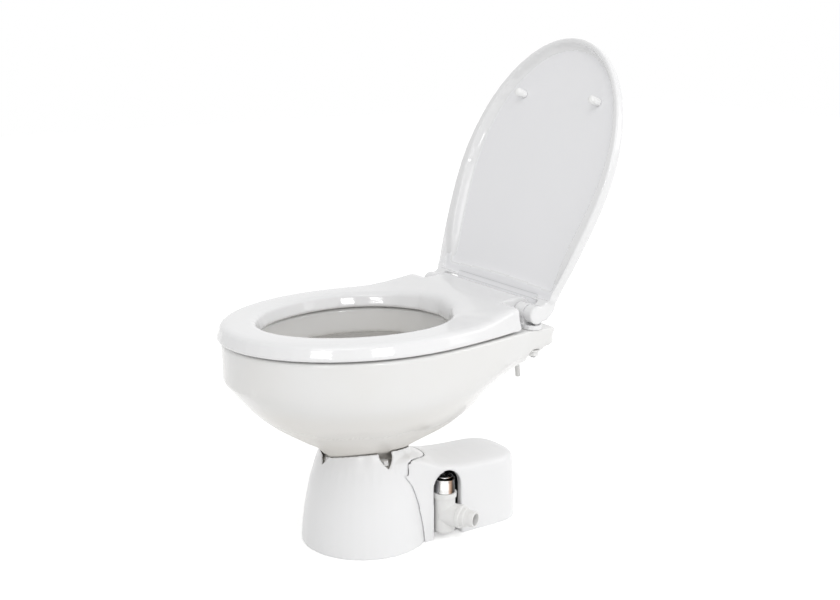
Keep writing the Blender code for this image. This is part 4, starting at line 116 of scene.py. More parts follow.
# Lamps: name, the setting with the power, place, what the lamp points at, width and height
LAMPS = (("key_lamp", "key", (1.4, -1.0, 2.4), (0, -0.05, 0.3), 1.6, 1.2),
         ("fill_lamp", "fill", (2.2, 0.9, 0.9), (0, 0, 0.3), 1.4, 1.4),
         ("back_lamp", "back", (1.3, 1.9, 1.3), (0, 0.05, 0.15), 1.2, 0.9),
         ("box_lamp_left", "box", (1.92, -1.79, 1.31), (0.1, -0.2, 0.35), 0.8, 0.05),
         ("box_lamp_right", "box", (2.54, -0.10, 1.26), (0.1, -0.2, 0.35), 0.7, 0.05))


# Sizes and colours that can be changed in the panel

class ToiletGlaze(bpy.types.PropertyGroup):
    """The bowl's glaze"""
    colour: FloatVectorProperty(name="Colour", description="Colour of the glaze", subtype="COLOR",
                                default=(0.82, 0.818, 0.812), min=0, max=1)
    # Painted reflection: the warm, darker colour low on the bowl stands in for the floor's reflection.
    floor_reflection_colour: FloatVectorProperty(name="Floor reflection colour", description="Colour of the painted floor reflection low on the bowl",
                                     subtype="COLOR", default=(0.775, 0.752, 0.712), min=0, max=1)
    ripple: FloatProperty(name="Ripple", description="Height of the glaze's slow ripple", unit="LENGTH",
                          default=0.03 * MM, min=0, max=1 * MM)


class ToiletSeatPlastic(bpy.types.PropertyGroup):
    """The seat and lid's hard gloss plastic"""
    colour: FloatVectorProperty(name="Colour", description="Colour of the seat, lid and hinge posts",
                                subtype="COLOR", default=(0.85, 0.85, 0.855), min=0, max=1)
    # Painted light: the panel's colour is lighter than the seat plastic's to make up for the shade the panel
    # lies in.
    panel_colour: FloatVectorProperty(name="Panel colour", description="Colour of the lid's inner panel",
                                      subtype="COLOR", default=(0.92, 0.921, 0.937), min=0, max=1)
    gloss: FloatProperty(name="Roughness", description="Roughness of the polished faces",
                         default=0.16, min=0.02, max=1)


class ToiletCasing(bpy.types.PropertyGroup):
    """The pedestal, motor cover and pump mouldings"""
    colour: FloatVectorProperty(name="Colour", description="Colour of the mouldings", subtype="COLOR",
                                default=(0.875, 0.876, 0.884), min=0, max=1)
    grain: FloatProperty(name="Grain", description="Width of the mould's fine grain", unit="LENGTH",
                         default=0.9 * MM, min=0.05 * MM, max=10 * MM)


class ToiletFittings(bpy.types.PropertyGroup):
    """The outlet fittings, nuts, screws and seals"""
    outlet_colour: FloatVectorProperty(name="Outlet", description="Colour of the elbow and hose tail",
                                       subtype="COLOR", default=(0.83, 0.828, 0.82), min=0, max=1)
    pipe_colour: FloatVectorProperty(name="Pipe", description="Colour of the rinse inlet pipe",
                                     subtype="COLOR", default=(0.87, 0.87, 0.855), min=0, max=1)
    steel_colour: FloatVectorProperty(name="Steel", description="Colour of the stainless pieces",
                                      subtype="COLOR", default=(0.60, 0.60, 0.61), min=0, max=1)


class ToiletStudio(bpy.types.PropertyGroup):
    """The camera, lamps and floor"""
    camera_place: FloatVectorProperty(name="Camera", description="Where the camera stands", unit="LENGTH",
                                      subtype="TRANSLATION", default=(1.6351, -1.0478, 0.8358))
    lens: FloatProperty(name="Lens", description="Focal length in millimetres", default=55.2, min=10, max=300)
    key: FloatProperty(name="Key lamp", description="Power of the large lamp above the front, in watts",
                       default=11, min=0)
    fill: FloatProperty(name="Fill lamp", description="Power of the lamp at the side, in watts",
                        default=1, min=0)
    back: FloatProperty(name="Back lamp", description="Power of the low lamp behind, in watts",
                        default=5, min=0)
    box: FloatProperty(name="Box lamps", description="Power of each box lamp beside the camera, in watts",
                       default=3.5, min=0)
    sky: FloatProperty(name="Sky", description="Level of the even light from all round", default=0.745, min=0)
    floor_colour: FloatVectorProperty(name="Floor", description="Colour of the floor", subtype="COLOR",
                                      default=(0.86, 0.86, 0.855), min=0, max=1)
    floor_lift: FloatProperty(name="Floor lift", description="How much whiter the floor looks than it is lit",
                              default=0.42, min=0, max=1)
    lean: FloatProperty(name="Lean of the sky", description="How much less light comes from the left",
                        default=0.30, min=0, max=1)
    rows: IntProperty(name="Floor rows", description="Rows of faces across the floor", default=4, min=1)


# Node groups that several finishes share

def new_group(name, inputs, outputs):
    """A node group with its sockets, and its input and output nodes."""
    group = bpy.data.node_groups.new(name, "ShaderNodeTree")
    for label, kind, value in inputs:
        socket = group.interface.new_socket(label, in_out="INPUT", socket_type=kind)
        if value is not None:
            socket.default_value = value
    for label, kind in outputs:
        group.interface.new_socket(label, in_out="OUTPUT", socket_type=kind)
    source = group.nodes.new("NodeGroupInput")
    target = group.nodes.new("NodeGroupOutput")
    return group, source, target


def noise_in(tree, vector, scale, detail, rough=0.5, distortion=0.0):
    """The value of a noise texture, whose scale is a number or comes from another node."""
    noise = tree.nodes.new("ShaderNodeTexNoise")
    noise.inputs["Detail"].default_value = detail
    noise.inputs["Roughness"].default_value = rough
    noise.inputs["Distortion"].default_value = distortion
    tree.links.new(vector, noise.inputs["Vector"])
    if isinstance(scale, (int, float)):
        noise.inputs["Scale"].default_value = scale
    else:
        tree.links.new(scale, noise.inputs["Scale"])
    return noise.outputs["Fac"]


def ranged(tree, value, low, high, to_low, to_high):
    """A value moved from one range to another; each end is a number or comes from another node."""
    node = tree.nodes.new("ShaderNodeMapRange")
    tree.links.new(value, node.inputs["Value"])
    for label, end in (("From Min", low), ("From Max", high), ("To Min", to_low), ("To Max", to_high)):
        if isinstance(end, (int, float)):
            node.inputs[label].default_value = end
        else:
            tree.links.new(end, node.inputs[label])
    return node.outputs["Result"]


def sums(tree, operation, first, second):
    """The result of one step of arithmetic on two values, each a number or from another node."""
    node = tree.nodes.new("ShaderNodeMath")
    node.operation = operation
    for socket, value in zip(node.inputs, (first, second)):
        if isinstance(value, (int, float)):
            socket.default_value = value
        else:
            tree.links.new(value, socket)
    return node.outputs["Value"]


def surface_grain():
    """Fine grain of a mould or a paint: a roughness that varies and a height for a bump."""
    group = bpy.data.node_groups.get("Surface Grain")
    if group:
        return group
    group, source, target = new_group(
        "Surface Grain",
        [("Vector", "NodeSocketVector", None), ("Scale", "NodeSocketFloat", 800.0),
         ("Smoothest", "NodeSocketFloat", 0.3), ("Roughest", "NodeSocketFloat", 0.4)],
        [("Roughness", "NodeSocketFloat"), ("Height", "NodeSocketFloat")])
    vector = source.outputs["Vector"]
    fine = noise_in(group, vector, source.outputs["Scale"], detail=3.0)
    broad = noise_in(group, vector, scale=14.0, detail=2.0)
    both = sums(group, "MULTIPLY_ADD", fine, 0.4)
    group.links.new(sums(group, "MULTIPLY", broad, 0.6), both.node.inputs[2])
    rough = ranged(group, both, 0.3, 0.7, source.outputs["Smoothest"], source.outputs["Roughest"])
    group.links.new(rough, target.inputs["Roughness"])
    group.links.new(fine, target.inputs["Height"])
    return group


def slow_tint():
    """A slow change between two colours, as in a glaze or a moulding that has aged a little."""
    group = bpy.data.node_groups.get("Slow Tint")
    if group:
        return group
    group, source, target = new_group(
        "Slow Tint",
        [("Vector", "NodeSocketVector", None), ("Scale", "NodeSocketFloat", 6.0),
         ("Colour", "NodeSocketColor", None), ("Second Colour", "NodeSocketColor", None),
         ("Mask", "NodeSocketFloat", 0.0)],
        [("Colour", "NodeSocketColor")])
    cloud = noise_in(group, source.outputs["Vector"], source.outputs["Scale"], detail=3.0)
    share = ranged(group, cloud, 0.35, 0.75, 0.0, 0.35)
    total = sums(group, "ADD", share, source.outputs["Mask"])
    total.node.use_clamp = True
    mix = group.nodes.new("ShaderNodeMix")
    mix.data_type = "RGBA"
    group.links.new(total, mix.inputs["Factor"])
    group.links.new(source.outputs["Colour"], mix.inputs["A"])
    group.links.new(source.outputs["Second Colour"], mix.inputs["B"])
    group.links.new(mix.outputs["Result"], target.inputs["Colour"])
    return group


def fine_scratches():
    """Hair-thin wiping marks that run mostly one way: a mask and a height."""
    group = bpy.data.node_groups.get("Fine Scratches")
    if group:
        return group
    group, source, target = new_group(
        "Fine Scratches",
        [("Vector", "NodeSocketVector", None), ("Scale", "NodeSocketFloat", 60.0)],
        [("Mask", "NodeSocketFloat"), ("Height", "NodeSocketFloat")])
    stretch = group.nodes.new("ShaderNodeMapping")
    stretch.inputs["Scale"].default_value = (1.0, 14.0, 14.0)
    stretch.inputs["Rotation"].default_value = (0.2, 0.35, 0.5)
    group.links.new(source.outputs["Vector"], stretch.inputs["Vector"])
    lines = noise_in(group, stretch.outputs["Vector"], source.outputs["Scale"], detail=4.0, rough=0.65,
                     distortion=0.2)
    mask = ranged(group, lines, 0.58, 0.72, 0.0, 1.0)
    group.links.new(mask, target.inputs["Mask"])
    group.links.new(lines, target.inputs["Height"])
    return group


# Finishes

class Finish:
    """A material with its Principled shader and Object coordinates at hand."""

    def __init__(self, name, colour=None, roughness=None, metallic=0.0, **plain):
        self.material = bpy.data.materials.new(name)
        self.material.use_nodes = True
        self.tree = self.material.node_tree
        self.shader = self.tree.nodes["Principled BSDF"]
        self.place = self.tree.nodes.new("ShaderNodeTexCoord").outputs["Object"]
        self.shader.inputs["Metallic"].default_value = metallic
        if colour is not None:
            self.shader.inputs["Base Color"].default_value = (*colour, 1.0)
            self.material.diffuse_color = (*colour, 1.0)
        if roughness is not None:
            self.shader.inputs["Roughness"].default_value = roughness
        for label, value in plain.items():
            self.shader.inputs[label.replace("_", " ")].default_value = value

    def group(self, group, **values):
        """A shared node group placed by the object's coordinates, with its values set or linked."""
        node = self.tree.nodes.new("ShaderNodeGroup")
        node.node_tree = group
        self.tree.links.new(self.place, node.inputs["Vector"])
        for label, value in values.items():
            socket = node.inputs[label.replace("_", " ")]
            if isinstance(value, bpy.types.NodeSocket):
                self.tree.links.new(value, socket)
            else:
                socket.default_value = value
        return node

    def feed(self, value, label):
        """Link a value to one of the shader's inputs."""
        self.tree.links.new(value, self.shader.inputs[label])

    def bump(self, height, distance, before=None):
        """A normal bent by a height, on top of one bent before."""
        node = self.tree.nodes.new("ShaderNodeBump")
        node.inputs["Distance"].default_value = distance
        self.tree.links.new(height, node.inputs["Height"])
        if before is not None:
            self.tree.links.new(before, node.inputs["Normal"])
        return node.outputs["Normal"]

    def tint(self, first, second, scale, mask=None):
        """A colour that drifts towards a second one, and more so where the mask says."""
        node = self.group(slow_tint(), Scale=scale, Colour=(*first, 1.0), Second_Colour=(*second, 1.0))
        if mask is not None:
            self.tree.links.new(mask, node.inputs["Mask"])
        self.feed(node.outputs["Colour"], "Base Color")

    def grain(self, width, smoothest, roughest, height, dull=None):
        """A roughness that varies with the grain, raised by a value where one is given, and its bump."""
        node = self.group(surface_grain(), Scale=1.0 / width, Smoothest=smoothest, Roughest=roughest)
        rough = node.outputs["Roughness"]
        self.feed(rough if dull is None else sums(self.tree, "ADD", rough, dull), "Roughness")
        return self.bump(node.outputs["Height"], height)

    def axis(self, letter):
        """The object's coordinate along one axis."""
        split = self.tree.nodes.new("ShaderNodeSeparateXYZ")
        self.tree.links.new(self.place, split.inputs["Vector"])
        return split.outputs[letter]


def darker(colour, share):
    """A colour with each channel multiplied; a share above 1 makes it lighter."""
    return tuple(c * share for c in colour)


def glaze_finish(glaze):
    """Glaze that dulls towards the foot, with a painted warm reflection of the floor that deepens and darkens
    towards it.
    """
    finish = Finish("Bowl Glaze", glaze.colour, IOR=1.5, Coat_Roughness=0.03)
    height = finish.axis("Z")
    # Painted reflection: from the shoulder down to the foot the colour drifts warmer and darker, standing in
    # for the floor's reflection.
    shoulder = ranged(finish.tree, height, *BOWL_SHOULDER_Z, 0.0, 0.45)
    foot = ranged(finish.tree, height, BOWL_SHOULDER_Z[1], BOWL_FOOT_Z, 0.0, 0.45)
    finish.tint(glaze.colour, glaze.floor_reflection_colour, scale=7.0, mask=sums(finish.tree, "ADD", shoulder, foot))
    finish.feed(ranged(finish.tree, height, *BOWL_GLOSS_Z, 0.04, 0.6), "Coat Weight")
    dull = sums(finish.tree, "MULTIPLY", foot, 0.9)
    normal = finish.grain(width=3.5 * MM, smoothest=0.10, roughest=0.17, height=0.004 * MM, dull=dull)
    ripple = noise_in(finish.tree, finish.place, scale=28.0, detail=1.0)
    finish.feed(finish.bump(ripple, glaze.ripple, normal), "Normal")
    return finish.material


def seat_finish(plastic):
    """Hard gloss plastic with faint wiping marks."""
    finish = Finish("Seat Gloss Plastic", plastic.colour, IOR=1.5, Coat_Weight=0.7, Coat_Roughness=0.04)
    finish.tint(plastic.colour, darker(plastic.colour, 0.97), scale=5.0)
    normal = finish.grain(width=1.6 * MM, smoothest=plastic.gloss * 0.8, roughest=plastic.gloss * 1.35,
                          height=0.004 * MM)
    wiped = finish.group(fine_scratches(), Scale=45.0)
    finish.feed(finish.bump(wiped.outputs["Height"], 0.003 * MM, normal), "Normal")
    return finish.material


def panel_finish(plastic):
    """The lid's inner panel, duller than its rim, and painted lighter than the rest of the lid to stand in
    for light in its shade.
    """
    finish = Finish("Lid Panel Plastic", plastic.panel_colour, IOR=1.5)
    finish.tint(plastic.panel_colour, darker(plastic.panel_colour, 0.97), scale=5.0)
    normal = finish.grain(width=1.2 * MM, smoothest=0.30, roughest=0.42, height=0.008 * MM)
    finish.feed(normal, "Normal")
    return finish.material


def casing_finish(casing):
    """Satin moulding with a fine grain and faint wiping marks."""
    finish = Finish("Casing Satin Plastic", casing.colour, IOR=1.5, Coat_Weight=0.4, Coat_Roughness=0.12)
    finish.tint(casing.colour, darker(casing.colour, 0.96), scale=6.0)
    normal = finish.grain(width=casing.grain, smoothest=0.26, roughest=0.40, height=0.006 * MM)
    wiped = finish.group(fine_scratches(), Scale=35.0)
    finish.feed(finish.bump(wiped.outputs["Height"], 0.004 * MM, normal), "Normal")
    return finish.material


def moulded_finish(name, colour, smoothest=0.42, roughest=0.58):
    """Plain moulding or rubber as it comes out of the mould."""
    finish = Finish(name, colour)
    finish.tint(colour, darker(colour, 0.92), scale=22.0)
    normal = finish.grain(width=0.7 * MM, smoothest=smoothest, roughest=roughest, height=0.012 * MM)
    finish.feed(normal, "Normal")
    return finish.material


def pipe_finish(colour):
    """Soft milky plastic."""
    finish = Finish("Milky Pipe", colour, IOR=1.45)
    finish.tint(colour, darker(colour, 0.93), scale=60.0)
    finish.feed(finish.grain(width=0.8 * MM, smoothest=0.22, roughest=0.34, height=0.01 * MM), "Normal")
    return finish.material


def brushed_finish(name, colour):
    """Stainless steel with the fine lines of a brush."""
    finish = Finish(name, colour, metallic=1.0)
    finish.tint(colour, darker(colour, 0.86), scale=90.0)
    normal = finish.grain(width=0.5 * MM, smoothest=0.22, roughest=0.38, height=0.004 * MM)
    lines = finish.group(fine_scratches(), Scale=140.0)
    finish.feed(finish.bump(lines.outputs["Height"], 0.01 * MM, normal), "Normal")
    return finish.material


def band_finish():
    """Polished steel, drawn upright, with painted reflections: stripes of silver, white, straw and black run
    up round the port.
    """
    made = bpy.data.materials.get("Polished Band Steel")
    if made:
        return made
    finish = Finish("Polished Band Steel", (0.72, 0.72, 0.73), metallic=1.0)
    around = finish.tree.nodes.new("ShaderNodeMapping")
    around.vector_type = "POINT"
    around.inputs["Location"].default_value = -PORT
    finish.tree.links.new(finish.place, around.inputs["Vector"])
    split = finish.tree.nodes.new("ShaderNodeSeparateXYZ")
    finish.tree.links.new(around.outputs["Vector"], split.inputs["Vector"])
    turn = sums(finish.tree, "ARCTAN2", split.outputs["Y"], split.outputs["X"])
    share = ranged(finish.tree, turn, STRIPE_START, STRIPE_END, 0.0, 1.0)
    ramp = finish.tree.nodes.new("ShaderNodeValToRGB")
    for place, colour in REFLECTION_STRIPES[2:]:
        ramp.color_ramp.elements.new(place)
    for element, (place, colour) in zip(ramp.color_ramp.elements, REFLECTION_STRIPES):
        element.position = place
        element.color = (*colour, 1.0)
    finish.tree.links.new(share, ramp.inputs["Fac"])
    finish.feed(ramp.outputs["Color"], "Base Color")
    finish.feed(finish.grain(width=0.5 * MM, smoothest=0.10, roughest=0.20, height=0.002 * MM), "Normal")
    return finish.material


def cast_finish(name, colour):
    """Bare cast metal, matt and a little uneven."""
    finish = Finish(name, colour, metallic=1.0)
    finish.tint(colour, darker(colour, 0.8), scale=70.0)
    finish.feed(finish.grain(width=0.9 * MM, smoothest=0.42, roughest=0.62, height=0.05 * MM), "Normal")
    return finish.material


def painted_finish(name, colour):
    """Sprayed paint with a thin gloss."""
    finish = Finish(name, colour, Coat_Weight=0.3)
    finish.tint(colour, darker(colour, 1.35), scale=50.0)
    finish.feed(finish.grain(width=1.4 * MM, smoothest=0.28, roughest=0.44, height=0.02 * MM), "Normal")
    return finish.material


def wound_finish(name, colour):
    """Bare wire, wound in strands along the shaft."""
    finish = Finish(name, colour, metallic=1.0)
    finish.tint(colour, darker(colour, 0.6), scale=120.0)
    finish.grain(width=0.6 * MM, smoothest=0.25, roughest=0.4, height=0.01 * MM)
    strands = finish.tree.nodes.new("ShaderNodeTexWave")
    strands.bands_direction = "Y"
    strands.inputs["Scale"].default_value = 380.0
    strands.inputs["Distortion"].default_value = 1.5
    finish.tree.links.new(finish.place, strands.inputs["Vector"])
    finish.feed(finish.bump(strands.outputs["Fac"], distance=0.2 * MM), "Normal")
    return finish.material


# Skins over the solids

def object_from(shell, name, material, crease=None):
    """An object at the origin that takes over the mesh being built, smooth where a crease is given."""
    mesh = bpy.data.meshes.new(name)
    shell.to_mesh(mesh)
    shell.free()
    mesh.materials.clear()
    mesh.materials.append(material)
    if crease is not None:
        mesh.shade_smooth()
        mesh.set_sharp_from_angle(angle=math.radians(crease))
    piece = bpy.data.objects.new(name, mesh)
    bpy.context.scene.collection.objects.link(piece)
    return piece


def welded(mesh):
    """A copy of a mesh for building on, with the corners that meet made one."""
    shell = bmesh.new()
    shell.from_mesh(mesh)
    bmesh.ops.remove_doubles(shell, verts=shell.verts, dist=WELD)
    return shell


def skin(name, node, material, crease=CREASE):
    """A welded, smoothly shaded copy of a solid."""
    piece = object_from(welded(frame["nodes"][node].data), name, material, crease)
    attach(piece, BODY_OF[node])
    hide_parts(node)
    return piece


def settled(piece):
    """Give a piece the mesh that its modifiers make, and take the modifiers off."""
    shape = piece.evaluated_get(bpy.context.evaluated_depsgraph_get())
    rough = piece.data
    piece.data = bpy.data.meshes.new_from_object(shape)
    piece.data.name = piece.name
    piece.modifiers.clear()
    bpy.data.meshes.remove(rough)


def edge_marks(mesh):
    """Points along the sharp edges of a mesh, in a tree that finds the nearest one."""
    shell = welded(mesh)
    marks = []
    for edge in shell.edges:
        if edge.is_manifold and edge.calc_face_angle() > SHARP:
            start, end = (vertex.co for vertex in edge.verts)
            steps = max(1, math.ceil((end - start).length / MARK_GAP))
            marks += [start.lerp(end, step / steps) for step in range(steps + 1)]
    shell.free()
    tree = KDTree(len(marks))
    for index, mark in enumerate(marks):
        tree.insert(mark, index)
    tree.balance()
    return tree


def smoothed(piece, label, rounds, group=""):
    """Even a piece out, where a vertex group says so or all over."""
    flow = piece.modifiers.new(label, "SMOOTH")
    flow.factor = FLOW
    flow.iterations = rounds
    flow.vertex_group = group


def soft_skin(name, node, material, grid, rounds, broad_rounds=0, reach=REACH):
    """A copy of a solid in an even fine mesh whose edges have flowed round, as a glaze's or a moulding's do.

    The broad faces are evened out more than what lies near a sharp edge."""
    marks = edge_marks(frame["nodes"][node].data)
    piece = skin(name, node, material, ALL_SMOOTH)
    even = piece.modifiers.new("Even mesh", "REMESH")
    even.mode = "VOXEL"
    even.voxel_size = grid
    even.use_smooth_shade = True
    settled(piece)
    if broad_rounds:
        broad = piece.vertex_groups.new(name="broad_faces")
        for vertex in piece.data.vertices:
            share = (marks.find(vertex.co)[2] - reach * HELD) / (reach * (1 - HELD))
            if share > 0:
                broad.add([vertex.index], min(share, 1.0), "REPLACE")
        smoothed(piece, "Even faces", broad_rounds, broad.name)
    smoothed(piece, "Flowed edges", rounds)
    settled(piece)
    return piece


def paint_faces(piece, node, material, chosen):
    """Give a second material to the faces that the test picks, by the solid's nearest face."""
    solid = frame["nodes"][node].data
    nearest = BVHTree.FromPolygons([vertex.co for vertex in solid.vertices],
                                   [face.vertices for face in solid.polygons])
    piece.data.materials.append(material)
    last = len(piece.data.materials) - 1
    for face in piece.data.polygons:
        if chosen(face.center, nearest.find_nearest(face.center)[1]):
            face.material_index = last


def pedestal_inside(centre, normal):
    """The lip that the bowl sinks into and the walls within, matt and painted dark as painted shade."""
    out = Vector((centre.x, centre.y - PEDESTAL_Y))
    inward = normal.x * out.x + normal.y * out.y
    lip = normal.z > UPWARD and centre.z > SHELF_Z and out.length < LIP_RADIUS
    return inward < -INWARD * out.length or lip


def port_boss(centre, normal):
    """The metal insert of the outlet port, seen through the cover's arch."""
    return math.hypot(centre.x - PORT.x, centre.y - PORT.y) < PORT_RADIUS and centre.z > PORT_Z


def lid_panel(centre, normal):
    """The flat panel inside the lid, as the lid stands open at rest."""
    along = Matrix.Rotation(-LID_LEAN, 3, "X") @ Vector((0, 0, 1))
    inner = Vector((0, -along.z, along.y))
    depth = (centre - HINGE).dot(inner)
    return depth < -LID_PANEL_DEPTH and normal.dot(inner) > LID_PANEL_FLAT


class TOILET_OT_bowl(bpy.types.Operator):
    """Dress the bowl in its glaze"""
    bl_idname = "toilet.bowl"
    bl_label = "Bowl"

    def execute(self, context):
        glaze = glaze_finish(context.scene.toilet_glaze)
        soft_skin("glazed_bowl", "bowl", glaze, grid=3.0 * MM, rounds=4, broad_rounds=160)
        return {"FINISHED"}


class TOILET_OT_seat(bpy.types.Operator):
    """Dress the seat, lid, hinge posts and buffers"""
    bl_idname = "toilet.seat"
    bl_label = "Seat and lid"

    def execute(self, context):
        plastic = context.scene.toilet_seat_plastic
        gloss = seat_finish(plastic)
        soft_skin("gloss_seat", "seat", gloss, grid=2.0 * MM, rounds=5, broad_rounds=60)
        lid = soft_skin("gloss_lid", "lid", gloss, grid=2.08 * MM, rounds=4, broad_rounds=36, reach=10 * MM)
        paint_faces(lid, "lid", panel_finish(plastic), lid_panel)
        for side in ("left", "right"):
            soft_skin("gloss_post_" + side, "hinge_post_" + side, gloss, grid=0.8 * MM, rounds=4)
        # Painted light: the pale rubber's colour is raised to full white to make up for the shade under the
        # lid where the buffers sit.
        pad = moulded_finish("Pale Buffer Rubber", (1.0, 1.0, 0.995), smoothest=0.22, roughest=0.34)
        for node, slot in SLOTS.items():
            if slot == "pale_rubber":
                skin("pad_" + node, node, pad, SOFT_CREASE)
        return {"FINISHED"}


class TOILET_OT_casing(bpy.types.Operator):
    """Dress the pedestal, motor cover and pump mouldings"""
    bl_idname = "toilet.casing"
    bl_label = "Casing"

    def execute(self, context):
        satin = casing_finish(context.scene.toilet_casing)
        # Painted shade: the pedestal's top lip and inner walls get a near-black colour for the shade inside
        # it and in the seam under the bowl.
        painted_shade = moulded_finish("Dusty Inner Wall", (0.10, 0.085, 0.072), smoothest=0.6, roughest=0.8)
        pedestal = soft_skin("satin_pedestal", "pedestal", satin, grid=1.8 * MM, rounds=3, broad_rounds=72)
        paint_faces(pedestal, "pedestal", painted_shade, pedestal_inside)
        soft_skin("satin_motor_cover", "motor_cover", satin, grid=1.6 * MM, rounds=3, broad_rounds=50)
        for node in ("pump_bed", "waste_chamber"):
            skin("satin_" + node, node, satin)
        pump = soft_skin("satin_pump_housing", "pump_housing", satin, grid=0.9 * MM, rounds=2)
        # Painted reflections: the port boss gets the steel whose stripes stand in for reflections.
        paint_faces(pump, "pump_housing", band_finish(), port_boss)
        return {"FINISHED"}


class TOILET_OT_outlet(bpy.types.Operator):
    """Dress the discharge elbow, hose tail, nuts and rinse inlet"""
    bl_idname = "toilet.outlet"
    bl_label = "Outlet and inlet"

    def execute(self, context):
        fittings = context.scene.toilet_fittings
        grey = moulded_finish("Grey Fitting Plastic", fittings.outlet_colour)
        for node, slot in SLOTS.items():
            if slot == "grey_plastic":
                soft_skin("grey_" + node, node, grey, grid=0.55 * MM, rounds=2)
        skin("milky_rinse_inlet", "rinse_inlet_tail", pipe_finish(fittings.pipe_colour), SOFT_CREASE)
        return {"FINISHED"}


def band_round(name, inner, low, high, spread, material):
    """An open band of sheet round the port's upright axis, with rolled rims and a gap towards -X."""
    outer = inner + BAND_THICKNESS
    roll = BAND_THICKNESS * BAND_ROLL
    lip = outer + roll * 0.5
    outline = [(inner, low), (lip, low), (lip, low + roll), (outer, low + roll * 1.6),
               (outer, high - roll * 1.6), (lip, high - roll), (lip, high), (inner, high)]
    shell = bmesh.new()
    rings = []
    for step in range(BAND_STEPS + 1):
        turn = Matrix.Rotation(spread * (2 * step / BAND_STEPS - 1), 3, "Z")
        rings.append([shell.verts.new(PORT + turn @ Vector((radius, 0, height)))
                      for radius, height in outline])
    for ring, following in zip(rings, rings[1:]):
        for index in range(len(outline)):
            shell.faces.new((ring[index - 1], ring[index], following[index], following[index - 1]))
    for end in (rings[0], rings[-1]):
        shell.faces.new(end)
    bmesh.ops.recalc_face_normals(shell, faces=shell.faces)
    piece = object_from(shell, name, material, BAND_CREASE)
    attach(piece, BODY_OF["pump_housing"])


class TOILET_OT_metalwork(bpy.types.Operator):
    """Dress the pins, bolts, screws, strap and motor"""
    bl_idname = "toilet.metalwork"
    bl_label = "Metalwork and motor"

    def execute(self, context):
        fittings = context.scene.toilet_fittings
        finishes = {
            "steel": brushed_finish("Stainless Steel", fittings.steel_colour),
            "black_steel": painted_finish("Black Motor Paint", (0.03, 0.03, 0.032)),
            "cast_alloy": cast_finish("Cast Alloy", (0.52, 0.53, 0.54)),
            "copper": wound_finish("Bare Copper", (0.72, 0.36, 0.22)),
            "carbon": moulded_finish("Pressed Carbon", (0.03, 0.03, 0.03), smoothest=0.35, roughest=0.5),
            "ferrite": painted_finish("Magnet Ferrite", (0.05, 0.05, 0.055)),
            "black_plastic": moulded_finish("Black Moulding", (0.025, 0.025, 0.027)),
            "rubber": moulded_finish("Black Rubber", (0.02, 0.02, 0.02), smoothest=0.5, roughest=0.7),
            "brown_wire": moulded_finish("Brown Wire Sleeve", (0.16, 0.07, 0.035), smoothest=0.3,
                                         roughest=0.45),
        }
        for node, slot in SLOTS.items():
            if slot in finishes:
                skin("fine_" + node, node, finishes[slot])
        # Steel whose light and dark stripes are painted reflections.
        reflection_steel = band_finish()
        for name, (inner, low, high, spread) in BANDS.items():
            band_round(name, inner, low, high, math.radians(spread), reflection_steel)
        return {"FINISHED"}


def area_lamp(name, place, target, width, height, power):
    data = bpy.data.lights.new(name, "AREA")
    data.shape = "RECTANGLE"
    data.size = width
    data.size_y = height
    data.energy = power
    lamp = bpy.data.objects.new(name, data)
    bpy.context.scene.collection.objects.link(lamp)
    way = (Vector(target) - Vector(place)).normalized()
    lamp.matrix_world = Matrix.Translation(place) @ way.to_track_quat("-Z", "Y").to_matrix().to_4x4()


def seen_directly(tree):
    """1 for the camera's rays and for those that metal and gloss send on, 0 for the light that falls."""
    path = tree.nodes.new("ShaderNodeLightPath")
    first = sums(tree, "MAXIMUM", path.outputs["Is Camera Ray"], path.outputs["Is Glossy Ray"])
    return sums(tree, "MAXIMUM", first, path.outputs["Is Transmission Ray"])


def white_paper(studio):
    """The floor's paper, which looks white and keeps the shadows that fall on it."""
    paper = Finish("Studio Paper", studio.floor_colour, 0.75)
    paper.tint(studio.floor_colour, darker(studio.floor_colour, 0.985), scale=1.2)
    glow = paper.tree.nodes.new("ShaderNodeEmission")
    glow.inputs["Color"].default_value = WHITE
    lift = sums(paper.tree, "MULTIPLY", seen_directly(paper.tree), studio.floor_lift)
    paper.tree.links.new(lift, glow.inputs["Strength"])
    both = paper.tree.nodes.new("ShaderNodeAddShader")
    paper.tree.links.new(paper.shader.outputs["BSDF"], both.inputs[0])
    paper.tree.links.new(glow.outputs["Emission"], both.inputs[1])
    paper.tree.links.new(both.outputs["Shader"], paper.tree.nodes["Material Output"].inputs["Surface"])
    return paper.material


def white_world(level, lean):
    """Light from all round, a little less of it from the camera's left, from a world that looks white."""
    world = bpy.data.worlds.new("Studio World")
    world.use_nodes = True
    tree = world.node_tree
    even = tree.nodes["Background"]
    white = tree.nodes.new("ShaderNodeBackground")
    for light, strength in ((even, level), (white, 1.0)):
        light.inputs["Color"].default_value = WHITE
        light.inputs["Strength"].default_value = strength
    side = tree.nodes.new("ShaderNodeVectorMath")
    side.operation = "DOT_PRODUCT"
    side.inputs[1].default_value = IMAGE_RIGHT
    tree.links.new(tree.nodes.new("ShaderNodeTexCoord").outputs["Object"], side.inputs[0])
    leaned = ranged(tree, side.outputs["Value"], -1.0, 1.0, level * (1 - lean), level * (1 + lean))
    tree.links.new(leaned, even.inputs["Strength"])
    mix = tree.nodes.new("ShaderNodeMixShader")
    tree.links.new(seen_directly(tree), mix.inputs["Fac"])
    tree.links.new(even.outputs["Background"], mix.inputs[1])
    tree.links.new(white.outputs["Background"], mix.inputs[2])
    tree.links.new(mix.outputs["Shader"], tree.nodes["World Output"].inputs["Surface"])
    return world


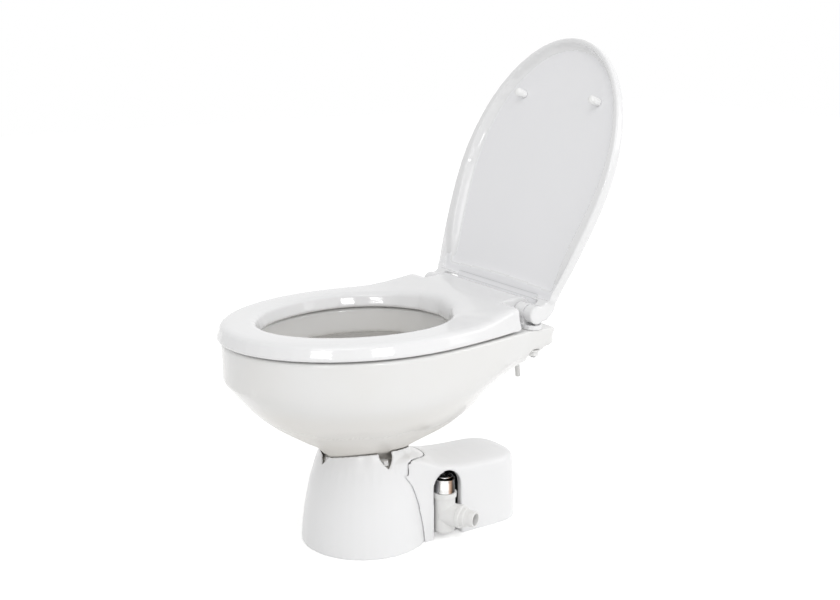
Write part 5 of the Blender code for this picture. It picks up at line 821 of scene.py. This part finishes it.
class TOILET_OT_studio(bpy.types.Operator):
    """Set up the floor, the lamps and the camera"""
    bl_idname = "toilet.studio"
    bl_label = "Studio"

    def execute(self, context):
        studio = context.scene.toilet_studio
        scene = context.scene
        scene.view_settings.view_transform = "Standard"

        ground = bmesh.new()
        bmesh.ops.create_grid(ground, x_segments=studio.rows, y_segments=studio.rows, size=FLOOR_SIZE)
        object_from(ground, "studio_floor", white_paper(studio))
        scene.world = white_world(studio.sky, studio.lean)
        for name, setting, place, target, width, height in LAMPS:
            area_lamp(name, place, target, width, height, getattr(studio, setting))

        data = bpy.data.cameras.new("camera")
        data.sensor_fit = "HORIZONTAL"
        data.sensor_width = SENSOR_WIDTH
        data.lens = studio.lens
        camera = bpy.data.objects.new("camera", data)
        scene.collection.objects.link(camera)
        across = CAMERA_ACROSS.normalized()
        back = CAMERA_BACK.normalized()
        up = back.cross(across).normalized()
        turn = Matrix((across, up, back)).transposed().to_4x4()
        camera.matrix_world = Matrix.Translation(studio.camera_place) @ turn
        scene.camera = camera
        return {"FINISHED"}


OPERATORS = (TOILET_OT_bowl, TOILET_OT_seat, TOILET_OT_casing, TOILET_OT_outlet, TOILET_OT_metalwork,
             TOILET_OT_studio)
SETTINGS = {"toilet_glaze": ToiletGlaze, "toilet_seat_plastic": ToiletSeatPlastic,
            "toilet_casing": ToiletCasing, "toilet_fittings": ToiletFittings, "toilet_studio": ToiletStudio}


class TOILET_PT_panel(bpy.types.Panel):
    """Lists the toilet's pieces, sizes and colours"""
    bl_idname = "TOILET_PT_panel"
    bl_label = "Marine Toilet"
    bl_space_type = "VIEW_3D"
    bl_region_type = "UI"
    bl_category = "Toilet"

    def draw(self, context):
        for name, kind in SETTINGS.items():
            box = self.layout.box()
            for label in kind.__annotations__:
                box.prop(getattr(context.scene, name), label)
        for operator in OPERATORS:
            self.layout.operator(operator.bl_idname)


def register():
    for kind in (*SETTINGS.values(), *OPERATORS, TOILET_PT_panel):
        bpy.utils.register_class(kind)
    for name, kind in SETTINGS.items():
        setattr(bpy.types.Scene, name, PointerProperty(type=kind))


def unregister():
    for name in SETTINGS:
        delattr(bpy.types.Scene, name)
    for kind in (TOILET_PT_panel, *reversed(OPERATORS), *reversed(list(SETTINGS.values()))):
        bpy.utils.unregister_class(kind)


def main():
    register()
    bpy.ops.toilet.bowl()
    bpy.ops.toilet.seat()
    bpy.ops.toilet.casing()
    bpy.ops.toilet.outlet()
    bpy.ops.toilet.metalwork()
    bpy.ops.toilet.studio()


if __name__ == "__main__":
    main()
